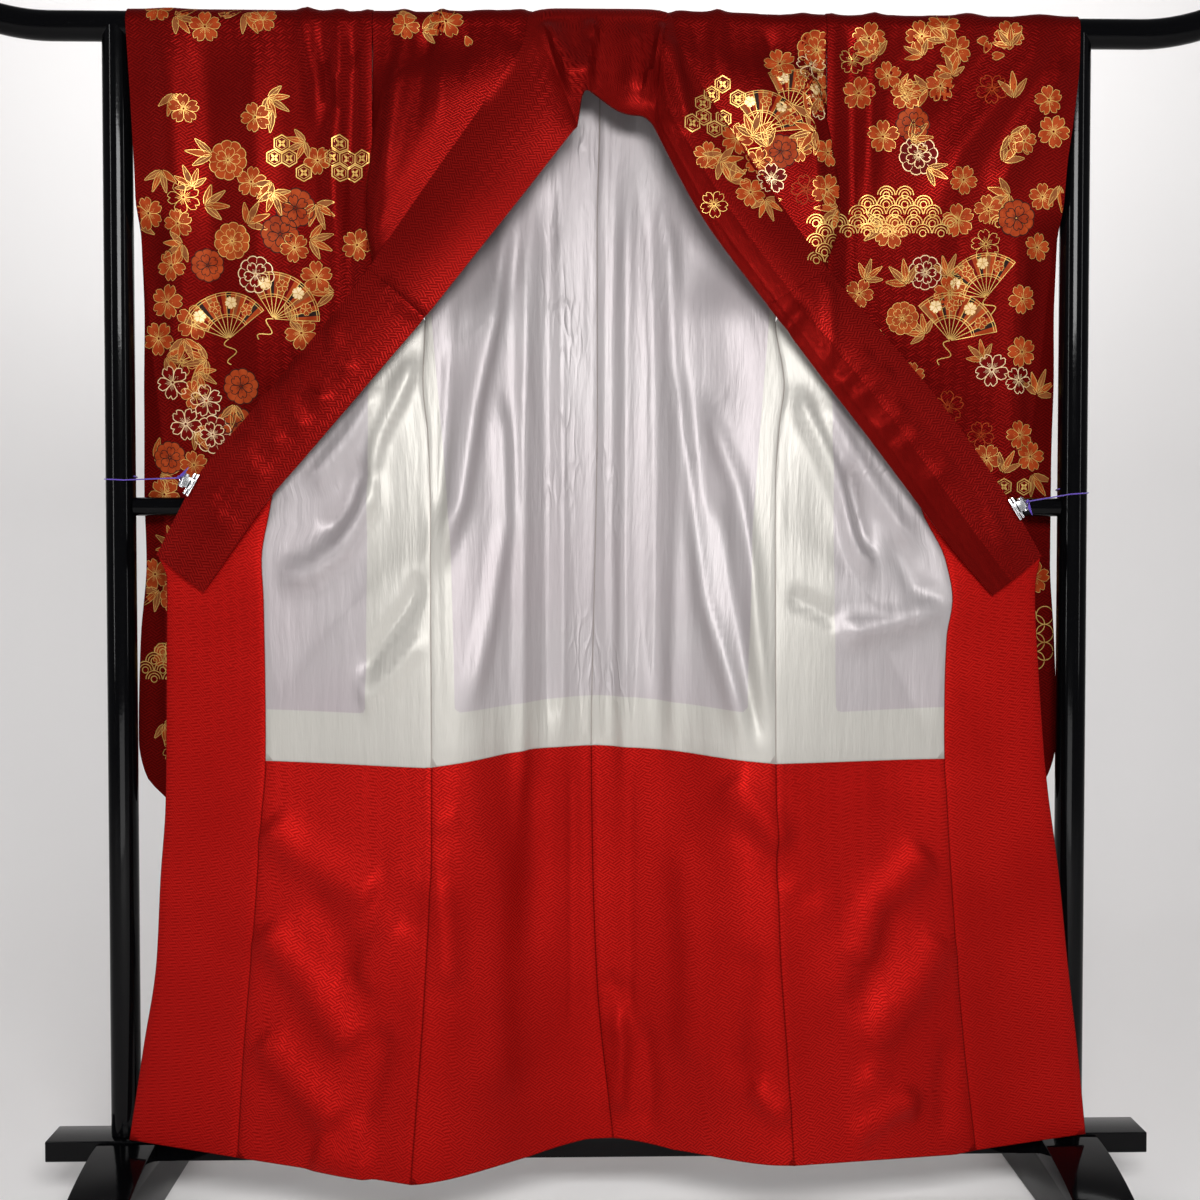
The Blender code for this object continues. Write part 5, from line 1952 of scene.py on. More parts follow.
@dataclass
class Stand:
    """The lacquered stand: a bar with raised tips, two uprights, a rail, and a plank on arched feet."""

    lacquer: bpy.types.Material
    straight_half: float = 0.76
    tip_reach: float = 0.14
    tip_rise: float = 0.034
    tip_steps: int = 16
    end_round: float = 0.005
    end_steps: int = 5
    rail_radius: float = 0.013
    rail_height: float = 0.990
    rail_inset: float = 0.001
    chamfer: float = 0.0015
    plank_half: float = 0.777
    plank_depth: float = 0.060
    plank_thickness: float = 0.029
    plank_top: float = 0.102
    plank_bevel: float = 0.0018
    foot_x: float = 0.663
    foot_width: float = 0.083
    foot_half: float = 0.300
    foot_height: float = 0.100
    foot_bevel: float = 0.0022
    foot_steps: int = 24
    joint: float = 0.0003
    sharp: float = 32.0

    def swept(self, name: str, path: list[tuple[float, ...]], radii: list[float], sides: int,
              node: str) -> None:
        """A round bar along a path.

        Args:
            name: the piece's name.
            path: its centreline.
            radii: its radius at each point.
            sides: how many sides its section has.
            node: the CAD node that it stands for.
        """
        work = bmesh.new()
        tube(work, path, radii, sides, (0.0, 1.0, 0.0))
        keep(solid(name, work, self.lacquer, self.sharp), "lacquer", node)

    def block(self, name: str, outline: list[tuple[float, float]], width: float, x: float, bevel: float,
              node: str) -> None:
        """A YZ outline given a width along X, with rounded edges.

        Args:
            name: the piece's name.
            outline: its outline.
            width: its width.
            x: the middle of its width.
            bevel: the edges' radius.
            node: the CAD node that it stands for.
        """
        work = bmesh.new()
        rings = [[work.verts.new((x + s * width / 2, y, z)) for y, z in outline] for s in (-1, 1)]
        count = len(outline)
        for k in range(count):
            work.faces.new((rings[0][k], rings[0][(k + 1) % count], rings[1][(k + 1) % count], rings[1][k]))
        work.faces.new(rings[0][::-1])
        work.faces.new(rings[1])
        bmesh.ops.recalc_face_normals(work, faces=work.faces[:])
        edges = [e for e in work.edges if e.is_manifold and e.calc_face_angle(0.0) > math.radians(30)]
        bmesh.ops.bevel(work, geom=edges, offset=bevel, segments=3, profile=0.5, affect="EDGES")
        keep(solid(name, work, self.lacquer, self.sharp), "lacquer", node)

    def build(self) -> None:
        """Build the seven parts of the stand."""
        self.swept("stand_top_bar", *self.bar(), 56, "top_bar")
        reach = UPRIGHT_X - UPRIGHT_RADIUS + self.rail_inset
        rail = [(x, 0.0, self.rail_height) for x in (-reach, 0.0, reach)]
        self.swept("stand_rail", rail, [self.rail_radius] * 3, 40, "middle_rail")
        low, half = self.plank_top - self.plank_thickness, self.plank_depth / 2
        section = [(-half, low), (half, low), (half, self.plank_top), (-half, self.plank_top)]
        self.block("stand_plank", section, 2 * self.plank_half, 0.0, self.plank_bevel, "base_plank")
        for side in Side:
            x = side.sign * UPRIGHT_X
            foot = self.plank_top + self.joint
            heights = (foot, self.plank_top + self.joint + self.chamfer, 0.6, 1.2, BAR_HEIGHT - 0.004)
            self.swept(f"stand_upright_{side.value}", [(x, 0.0, z) for z in heights],
                       [UPRIGHT_RADIUS - self.chamfer] + [UPRIGHT_RADIUS] * 4, 48, f"upright_{side.value}")
            self.block(f"stand_foot_{side.value}", self.foot_outline(), self.foot_width,
                       side.sign * self.foot_x, self.foot_bevel, f"foot_{side.value}")

    def bar(self) -> tuple[list[np.ndarray], list[float]]:
        """The top bar's centreline, with raised tips that round over at their ends, and its radii.

        Returns:
            The points and the radius at each.
        """
        half = self.straight_half
        steps = self.tip_steps
        tips = [(half + self.tip_reach * k / steps, BAR_HEIGHT + self.tip_rise * (k / steps) ** 2)
                for k in range(1, steps + 1)]
        line = [np.array((-x, 0.0, z)) for x, z in tips[::-1]]
        line += [np.array((x, 0.0, BAR_HEIGHT)) for x in (-half, -0.4, 0.0, 0.4, half)]
        line += [np.array((x, 0.0, z)) for x, z in tips]
        radii = [BAR_RADIUS] * len(line)
        turns = [math.pi / 2 * k / self.end_steps for k in range(self.end_steps)][::-1]
        for _ in range(2):
            end = line[0]
            back = (line[1] - end) / np.linalg.norm(line[1] - end)
            line = [end + back * self.end_round * (1 - math.sin(turn)) for turn in turns] + line[1:]
            radii = [BAR_RADIUS - self.end_round * (1 - math.cos(turn)) for turn in turns] + radii[1:]
            line, radii = line[::-1], radii[::-1]
        return line, radii

    def foot_outline(self) -> list[tuple[float, float]]:
        """An arch with a notch that holds the plank.

        Returns:
            The outline's corners in Y and Z.
        """
        radius = (self.foot_half ** 2 + self.foot_height ** 2) / (2 * self.foot_height)
        reach = math.asin(self.foot_half / radius)
        notch, low = self.plank_depth / 2 + self.joint, self.plank_top - self.plank_thickness - self.joint
        outline = []
        for k in range(-self.foot_steps, self.foot_steps + 1):
            turn = reach * k / self.foot_steps
            y, z = radius * math.sin(turn), self.foot_height - radius * (1.0 - math.cos(turn))
            if abs(y) > notch + 0.006:
                outline.append((y, max(z, 0.0)))
        crown = self.foot_height - radius + math.sqrt(radius ** 2 - notch ** 2)
        middle = sum(1 for y, z in outline if y < 0)
        seat = [(-notch, crown), (-notch, low), (notch, low), (notch, crown)]
        return outline[:middle] + seat + outline[middle:]


@dataclass
class Clip:
    """A spring clip on a front edge, and the string that ties it to the upright."""

    side: Side
    steel: bpy.types.Material
    thread: bpy.types.Material
    cord_radius: float = 0.0009
    cord_length: float = 0.222
    cord_gap: float = 0.0003
    tie_start: float = -25.0
    tie_turn: float = 315.0
    coils: int = 8
    coil_radii: tuple[float, float] = (0.0046, 0.0050)
    wires: tuple[float, float, float, float, float] = (0.0008, 0.0040, 0.0007, 0.0007, 0.0004)
    spring_half: float = 0.24
    barrel_half: float = 0.30
    ring_out: float = 0.0035
    ring_radius: float = 0.0036
    knot_out: float = 0.0016
    knot_radius: float = 0.0016
    frayed: int = 16

    def __post_init__(self) -> None:
        """Find where the clip bites and which way it points."""
        height = CLIP_HEIGHT[self.side.value]
        x, y = self.seam(height)
        above, below = self.seam(height + 0.012), self.seam(height - 0.012)
        sign = self.side.sign
        self.origin = Vector((sign * x, y, height))
        self.out = Vector((sign * 0.024, 0.0, abs(below[0] - above[0]))).normalized()
        self.third = self.out.cross(Vector((0.0, 1.0, 0.0)))

    def seam(self, height: float) -> np.ndarray:
        """Plan place of the collar's seam on the straight lines that the CAD follows."""
        known = np.array(COLLAR_SEAMS[self.side.value], float)[::-1]
        return np.array([np.interp(height, known[:, 0], known[:, k]) for k in (1, 2)])

    def matrix(self) -> Matrix:
        """From the clip's own axes, out, depth and across, to the world.

        Returns:
            The matrix.
        """
        axes = np.eye(4)
        for column, axis in enumerate((self.out, Vector((0.0, 1.0, 0.0)), self.third, self.origin)):
            axes[:3, column] = axis
        return Matrix(axes.tolist())

    def string(self) -> None:
        """The string: across to the upright, then once round it."""
        reach = CLIP_BARREL_OUT + CLIP_BARREL_RADIUS + self.cord_radius + self.cord_gap
        start = self.origin + self.out * reach
        start.y += CLIP_MIDDLE
        around = UPRIGHT_RADIUS + self.cord_radius + 2 * self.cord_gap
        sign, lift = self.side.sign, CORD_LIFT[self.side.value]
        lean = math.radians(-self.tie_start)
        x = sign * (UPRIGHT_X - around * math.sin(lean))
        meet = Vector((x, -around * math.cos(lean), start.z + lift))
        points = [start.lerp(meet, k / 6) for k in range(6)]
        for k in range(31):
            turn = math.radians(self.tie_start + self.tie_turn * k / 30)
            points.append(Vector((sign * (UPRIGHT_X + around * math.sin(turn)), -around * math.cos(turn),
                                  meet.z + CORD_RISE[self.side.value] * k / 30)))
        curve = bpy.data.curves.new(f"clip_string_{self.side.value}", "CURVE")
        curve.dimensions, curve.bevel_depth, curve.bevel_resolution = "3D", self.cord_radius, 3
        curve.use_fill_caps = True
        spline = curve.splines.new("POLY")
        spline.points.add(len(points) - 1)
        for place, point in zip(spline.points, points):
            place.co = (*point, 1.0)
        curve.materials.append(self.thread)
        obj = keep(show(curve.name, curve), "string", f"clip_cord_{self.side.value}")

    def build(self) -> None:
        """Build the clip's jaws, its spring and its ring."""
        work = bmesh.new()
        for low, high, bevel in CLIP_BLOCKS:
            made = bmesh.ops.create_cube(work, size=1.0)["verts"]
            for vert in made:
                vert.co = Vector([a + (b - a) * (c + 0.5) for a, b, c in zip(low, high, vert.co)])
            corners = set(made)
            edges = [edge for edge in work.edges if edge.verts[0] in corners]
            bmesh.ops.bevel(work, geom=edges, offset=bevel, segments=2, profile=0.5, affect="EDGES")
        coil, barrel, ring_wire, *_ = self.wires
        steps = 12 * self.coils
        wide, deep = self.coil_radii
        spring = []
        for k in range(steps + 1):
            turn = 2 * math.pi * self.coils * k / steps
            spring.append((CLIP_BARREL_OUT + wide * math.cos(turn), CLIP_MIDDLE + deep * math.sin(turn),
                           CLIP_WIDTH * self.spring_half * (2 * k / steps - 1)))
        tube(work, spring, coil, 6)
        core = [(CLIP_BARREL_OUT, CLIP_MIDDLE, CLIP_WIDTH * self.barrel_half * s) for s in (-1.0, 0.0, 1.0)]
        tube(work, core, barrel, 16)
        around, out = self.ring_radius, CLIP_BARREL_OUT + self.ring_out
        ring = [(out + around * math.cos(t), CLIP_MIDDLE, around * math.sin(t))
                for t in np.linspace(0, 2 * math.pi, 25)[:-1]]
        tube(work, ring, ring_wire, 8, closed=True)
        made = solid(f"spring_clip_{self.side.value}", work, self.steel, 35.0, self.matrix())
        keep(made, "clip_steel", f"clip_{self.side.value}")
        self.knot()

    def knot(self) -> None:
        """The string's knot at the clip, with frayed ends."""
        work = bmesh.new()
        start, radius = CLIP_BARREL_OUT + CLIP_BARREL_RADIUS + self.knot_out, self.knot_radius
        coil = [(start + 0.0012 * k / 40 + radius * math.cos(k / 3), CLIP_MIDDLE + radius * math.sin(k / 3),
                 radius * math.sin(k / 2.3)) for k in range(41)]
        *_, cord, thread = self.wires
        tube(work, coil, cord, 6)
        spread = random.Random(5 if self.side is Side.LEFT else 6)
        for _ in range(self.frayed):
            lean, bend = spread.uniform(-1.0, 1.0), spread.uniform(-0.5, 0.5)
            ends = [(start - s * 0.006, CLIP_MIDDLE - 0.006 - 0.003 * s + bend * 0.003 * s * s,
                     -0.002 - 0.010 * s + lean * 0.007 * s) for s in np.linspace(0.0, 1.0, 6)]
            tube(work, ends, thread, 5)
        keep(solid(f"string_knot_{self.side.value}", work, self.thread, 60.0, self.matrix()), "string")


@dataclass(frozen=True)
class Style:
    """How one kind of ornament is drawn: its shape, its fill, its lines and its width."""

    motif: Motif
    fill: Dye
    line: Dye
    size: float


STYLES: dict[str, Style] = {
    "o": Style(Motif.BLOSSOM, Dye.ORANGE, Dye.GOLD, 0.043),
    "O": Style(Motif.OUTLINE, Dye.GOLD, Dye.GOLD, 0.042),
    "G": Style(Motif.BLOSSOM, Dye.RED, Dye.WHITE, 0.045),
    "w": Style(Motif.OUTLINE, Dye.WHITE, Dye.WHITE, 0.042),
    "r": Style(Motif.OUTLINE, Dye.ORANGE, Dye.ORANGE, 0.042),
    "d": Style(Motif.DOUBLE, Dye.ORANGE, Dye.GOLD, 0.052),
    "g": Style(Motif.DOUBLE, Dye.RED, Dye.WHITE, 0.052),
    "b": Style(Motif.DOUBLE, Dye.ORANGE, Dye.BLACK, 0.050),
    "u": Style(Motif.DOUBLE, Dye.DULL, Dye.GOLD, 0.050),
    "l": Style(Motif.LEAVES, Dye.DULL, Dye.GOLD, 0.047),
    "p": Style(Motif.PETAL, Dye.ORANGE, Dye.GOLD, 0.018),
    "h": Style(Motif.HEXAGON, Dye.RED, Dye.GOLD, 0.026),
    "s": Style(Motif.WAVES, Dye.RED, Dye.GOLD, 0.026),
    "f": Style(Motif.FAN, Dye.ORANGE, Dye.GOLD, 0.125),
    "c": Style(Motif.RINGS, Dye.RED, Dye.GOLD, 0.026),
}

# Loose scatterings: a letter for the style, then the distance from the middle and the height in centimetres
SCATTER: dict[str, str] = {
    "left": """o-55,165 l-52,166 o-61,167 o-47,166 o-58,153 o-47,153 l-45,154 d-51,147 o-48,143 l-46,144
        h-44,149 h-45,147 h-43,147 h-41,145 h-36,149 h-37,147 h-35,147 h-36,145 h-34,145 h-33,147 o-39,147
        l-61,145 O-58,142 l-55,141 o-62,139 o-58,138 u-51,136 l-49,138 b-44,137 b-42,140 l-39,141 o-42,135
        o-34,135 b-54,132 g-48,131 o-59,132 o-60,128 o-57,125 o-62,122 o-40,131 l-37,129 o-42,123 l-56,118
        O-58,119 G-60,116 o-57,115 G-59,111 b-61,106 o-58,105 G-55,114 b-50,116 b-51,111 g-55,109 f-46,125
        f-52,122 o-62,101 l-60,98 o-58,94 o-63,90 d-60,86 l-57,83 o-62,78 o-57,70 l-62,68 O-60,64 o-55,92
        g-54,84 o-50,88 b-47,80 o-43,86 l-41,78 o-38,84 d-36,92 o-52,72 g-46,70 o-40,68 o-35,72 l-50,64""",
    "right": """o37,164 O35,161 o40,159 o45,164 o48,166 o50,162 o43,156 o47,158 o36,156 b43,152 o39,150
        g44,148 l46,146 o57,165 p52,164 p54,162 p56,162 r54,157 l57,156 o63,155 o63,151 o59,150 l56,147
        o51,144 o54,141 o50,139 o41,137 l57,143 b58,139 o62,142 O54,136 g46,132 l43,130 o62,136 o37,129
        u43,126 l46,124 o49,129 o60,128 o60,121 l62,115 G56,119 w59,117 r50,113 r54,110 o60,109 o62,106
        o56,106 l58,104 o44,118 h58,102 h61,102 f50,123 f55,128 o38,122 b41,114 o37,108 o44,108 o58,96
        l61,93 o63,89 g56,88 o50,96 d46,90 l43,96 o38,94 o52,80 b45,80 o38,82 l48,72 o60,72 d53,68 o45,68
        g38,70""",
    "right front": """h16.8,157 h15.3,155.6 h14,154.2 h14.1,152.2 h12.5,151.2 h15.6,150.6 h16.9,152.3
        h18.9,155 o14.6,147 l17,146 O15,139.5 o20,142 l22.6,141 o25,160 l27,159 w29,160.5 d30.6,162.6
        o31,157 G30,154 b25,147.4 o31,148 G24,144 r28,142 o31,142 f22,150.5 f26,153.5 o18.5,150 o21.6,146
        o27.5,148.5""",
    "left front": "o-26.5,165.4 l-24,164.6 o-21,166 p-18.5,163.5",
}

PRINTED: dict[str, tuple[str, ...]] = {
    "left": ("robe_sleeve_left",),
    "right": ("robe_sleeve_right",),
    "right front": ("robe_body_right", "robe_collar", "robe_over_collar"),
    "left front": ("robe_body_left",),
}

# Mounds of waves and nets of rings: the middle of the lowest row, the rows' counts and the style
MOUNDS: dict[str, tuple[tuple[float, float, tuple[int, ...], str], ...]] = {
    "left": ((-0.610, 0.745, (3, 4, 3, 2), "s"),),
    "right": ((0.412, 1.372, (6, 7, 5, 4, 2), "s"), (0.618, 0.770, (2, 3, 2, 3, 2, 3), "c"),
              (0.57, 1.385, (2, 1), "s")),
    "right front": ((0.308, 1.325, (2, 1, 2, 1, 2), "s"),),
    "left front": (),
}


# Places down and across a leaflet, and across a toothed petal
LEAF_DOWN = (0.06, 0.3, 0.58, 0.84, 1.0)
LEAF_ACROSS = (-1.0, 0.0, 1.0)
PETAL_ACROSS = (-1.0, -0.72, -0.40, -0.17, 0.0, 0.17, 0.40, 0.72, 1.0)
PETAL_LOBES = 0.20
# Half of an open fan, in degrees
FAN_HALF = 62


@dataclass(frozen=True)
class Patch:
    """An oblong on the hidden side over which ornaments are scattered at random.

    It has the corners with the lowest and the highest X and Z, how many ornaments to try for, the styles to
    draw from, and how much rarer they get towards the top.
    """

    low: tuple[float, float]
    high: tuple[float, float]
    count: int
    letters: str
    rarer: float = 0.0


# Behind: patches and mounds of each sleeve, from the middle of its width, and of the body
SLEEVE_MIDDLE = 0.485
SLEEVE_PATCHES = (
    Patch((-0.15, 0.60), (0.15, 1.64), 78, "ooooodgGbuOlwr", 0.5),
    Patch((-0.15, 0.72), (0.15, 1.50), 2, "f"),
)
SLEEVE_MOUND = (0.50, 1.02, (6, 5, 3, 2))
BODY_PATCHES = (
    Patch((-0.28, 1.42), (0.28, 1.64), 12, "ooodlp"),
    Patch((-0.66, 0.12), (0.66, 0.66), 150, "ooooodgGbuOlwrh", 0.85),
    Patch((-0.55, 0.16), (0.55, 0.40), 4, "f"),
)
BODY_MOUNDS = ((-0.20, 0.30, (7, 6, 4, 2)), (0.42, 0.22, (5, 4, 2)), (0.10, 0.14, (8, 5, 3)))
SEED = 11


def xy(places: np.ndarray | list[complex]) -> np.ndarray:
    """Turn complex places into rows of X and Y.

    Args:
        places: the places.

    Returns:
        An X and a Y for each.
    """
    return np.stack([np.real(places), np.imag(places)], axis=-1)


def unit(turn: np.ndarray | float) -> np.ndarray | complex:
    """The complex direction at an angle, or one for each of many.

    Args:
        turn: the angles in radians.

    Returns:
        The directions, each of length 1.
    """
    return np.exp(1j * turn)


class Ornament:
    """Draws one ornament on the flat as small grids, each with its dye and its place in the layers."""

    def __init__(self, style: Style, rng: random.Random) -> None:
        """Draw the ornament.

        Args:
            style: its motif, size and dyes.
            rng: the seeded source of its small differences.
        """
        self.grids: list[tuple[np.ndarray, Dye, int]] = []
        self.fill, self.line, self.rng = style.fill, style.line, rng
        getattr(self, style.motif.value)(style.size / 2)

    def stroke(self, line: np.ndarray, width: float, dye: Dye, level: int = 1, closed: bool = False) -> None:
        """A ribbon along a line.

        Args:
            line: its middle line.
            width: its width.
            dye: its colour.
            level: its layer.
            closed: whether its end meets its start.
        """
        ahead = np.roll(line, -1, 0) - np.roll(line, 1, 0) if closed else np.gradient(line, axis=0)
        ahead = ahead / np.maximum(np.linalg.norm(ahead, axis=1, keepdims=True), 1e-9)
        side = np.column_stack([-ahead[:, 1], ahead[:, 0]]) * width / 2
        grid = np.stack([line - side, line + side], axis=1)
        if closed:
            grid = np.concatenate([grid, grid[:1]])
        self.grids.append((grid, dye, level))

    def leaf(self, root: complex, way: complex, length: float, width: float, fill: Dye | None, line: Dye,
             lobes: float = 0.0, level: int = 0, weight: float = Pen.PLAIN) -> None:
        """A petal or leaflet, pointed without lobes and toothed with them.

        Args:
            root: its root as a complex number.
            way: the direction that it points in, of length 1.
            length: its length.
            width: its width.
            fill: its fill.
            line: its outline.
            lobes: how deep the teeth at its tip are, as a part of its length.
            level: its layer.
            weight: the outline's width.
        """
        s, t = np.meshgrid(LEAF_DOWN, PETAL_ACROSS if lobes else LEAF_ACROSS, indexing="ij")
        if lobes:
            half = width / 2 * np.sin(math.pi / 2 * s ** 0.9) * (1.0 - 0.26 * s ** 5)
            reach = length * s * (1.0 - s ** 3 * (lobes * np.exp(-((t / 0.2) ** 2)) + 0.17 * t ** 4))
        else:
            half = width / 2 * np.sin(math.pi * np.clip(s, 0, 0.97) ** 0.8) ** 0.8
            reach = length * s
        grid = xy(root + (reach + 1j * half * t) * way)
        if fill is not None:
            self.grids.append((grid, fill, level))
        rim = np.concatenate([grid[:, 0], grid[-1, 1:-1], grid[::-1, -1]])
        self.stroke(rim, weight, line, level + 1)

    def blossom(self, radius: float, fill: bool = True, level: int = 0, turn: float = 0.0) -> None:
        """A five-petalled cherry blossom.

        Args:
            radius: half of its size.
            fill: whether its petals are filled.
            level: its layer.
            turn: its turn in radians.
        """
        weight = Pen.PLAIN if self.line is Dye.GOLD else Pen.STRONG
        for k in range(5):
            way = complex(unit(turn + 2 * math.pi * k / 5))
            self.leaf(0j, way, radius, radius * 0.90, self.fill if fill else None, self.line, PETAL_LOBES,
                      level, weight)
            for lean, reach in ((-0.22, 0.42), (0.0, 0.52), (0.22, 0.42)):
                ray = way * complex(unit(lean)) * np.array((0.08 * radius, reach * radius))
                self.stroke(xy(ray), Pen.FINE, self.line, level + 1)

    def outline(self, radius: float) -> None:
        """A blossom in line only."""
        self.blossom(radius, fill=False)

    def double(self, radius: float) -> None:
        """A many-petalled blossom: a scalloped round with a smaller blossom on it.

        Args:
            radius: half of its size.
        """
        turn = np.linspace(0.0, 2 * math.pi, 61)
        around = np.column_stack([np.cos(turn), np.sin(turn)])
        rim = around * (radius * (0.90 + 0.10 * np.abs(np.cos(turn * 5)) ** 0.6))[:, None]
        self.grids.append((np.stack([rim * part for part in (0.35, 0.7, 1.0)]), self.fill, 0))
        self.stroke(rim, Pen.BROAD if self.line is not Dye.GOLD else Pen.FIRM, self.line)
        for k in range(10):
            way = unit(2 * math.pi * (k + 0.5) / 10)
            self.stroke(xy(way * np.array((0.62 * radius, 0.9 * radius))), Pen.THIN, self.line)
        self.blossom(radius * 0.66, level=2, turn=0.3)

    def leaves(self, radius: float) -> None:
        """A fan of slender pointed leaflets.

        Args:
            radius: half of its size.
        """
        count = self.rng.choice((3, 4, 5))
        for k in range(count):
            aside = k - (count - 1) / 2
            length = radius * (1.45 - 0.2 * abs(aside))
            way = complex(unit(aside * 0.66))
            self.leaf(0j, way, length, radius * 0.38, self.fill if k % 2 else Dye.GREEN, self.line)
            self.stroke(xy(way * length * 0.8 * np.array((0.0, 1.0))), Pen.THIN, self.line)

    def petal(self, radius: float) -> None:
        """One loose petal."""
        self.leaf(0j, 1 + 0j, radius * 2, radius * 1.6, self.fill, self.line, PETAL_LOBES)

    def hexagon(self, radius: float) -> None:
        """A hexagon with a pale rim and a four-petalled flower in it.

        Args:
            radius: half of its size.
        """
        def ring(part: float) -> np.ndarray:
            """A hexagon's corners and the points between them."""
            corners = unit(math.pi / 6 + math.pi / 3 * np.arange(7)) * radius * part
            return xy(np.concatenate([np.linspace(a, b, 4)[:-1] for a, b in zip(corners[:-1], corners[1:])]))
        for parts, dye, level in (((0.84, 0.97), self.line, 1), ((0.1, 0.45, 0.84), self.fill, 0)):
            grid = np.stack([ring(part) for part in parts])
            self.grids.append((np.concatenate([grid, grid[:, :1]], axis=1), dye, level))
        self.stroke(ring(0.64), Pen.PLAIN, self.line, 1, True)
        for k in range(4):
            way = complex(unit(math.pi / 4 + math.pi / 2 * k))
            self.leaf(0.06 * radius * way, way, radius * 0.40, radius * 0.22, self.line, self.line, level=1)

    def arcs(self, radius: float, hidden: tuple[complex, ...], parts: tuple[float, ...]) -> None:
        """Round lines about the middle, cut where a neighbour in front hides them.

        Args:
            radius: half of its size.
            hidden: the middles of the scales in front.
            parts: each line's radius as a share.
        """
        for part in parts:
            line = unit(np.linspace(0.0, 2 * math.pi, 49)) * radius * part
            seen = np.ones(len(line), bool)
            for other in hidden:
                seen &= np.abs(line - other) > radius * 0.999
            start = int(np.argmin(seen)) if not seen.all() else 0
            order = np.roll(np.arange(len(line) - 1), -start)
            run: list[complex] = []
            for k in [*order, -1]:
                if k >= 0 and seen[k]:
                    run.append(line[k])
                    continue
                if len(run) > 2:
                    self.stroke(xy(run), Pen.BROAD, self.line)
                run = []

    def waves(self, radius: float) -> None:
        """One scale of a wave ground."""
        self.arcs(radius, (radius - 1j * radius, -radius - 1j * radius, -2j * radius), (0.94, 0.64, 0.34))

    def rings(self, radius: float) -> None:
        """One ring of a linked ground."""
        self.arcs(radius, (), (1.0,))

    def fan(self, radius: float) -> None:
        """A folding fan, open, with its ribs and a knotted cord.

        Args:
            radius: half of its size.
        """
        half = math.radians(FAN_HALF)
        folds = np.linspace(-half, half, 19)
        colours = (self.fill, Dye.BLACK, self.fill, Dye.RED, self.fill, Dye.GREEN)
        for k in range(18):
            way = unit(np.linspace(folds[k], folds[k + 1], 3))
            grid = np.stack([xy(way * r) for r in np.linspace(0.48, 1.0, 9) * radius])
            self.grids.append((grid, colours[k % 6], 0))
        for r in (0.48, 0.53, 0.95, 1.0):
            self.stroke(xy(unit(np.linspace(-half, half, 37)) * r * radius), Pen.EVEN, self.line)
        for lean in folds[::2]:
            self.stroke(xy(unit(lean) * (np.linspace(0.03, 1.0, 12) * radius)), Pen.FIRM, self.line)
        for k, lean in enumerate((-0.75, -0.25, 0.25, 0.75)):
            root = complex(unit(lean)) * radius * (0.74 + 0.04 * (k % 2))
            for n in range(5):
                way = complex(unit(0.3 * k + 2 * math.pi * n / 5))
                self.leaf(root, way, radius * 0.135, radius * 0.13, Dye.WHITE if k % 2 else Dye.ORANGE,
                          Dye.GOLD, PETAL_LOBES, 2, Pen.LIGHT)
        t = np.linspace(0.0, 1.0, 30)
        self.stroke(xy(-t * radius * 0.55 + 1j * radius * 0.12 * np.sin(t * 9)), Pen.FULL, self.line)


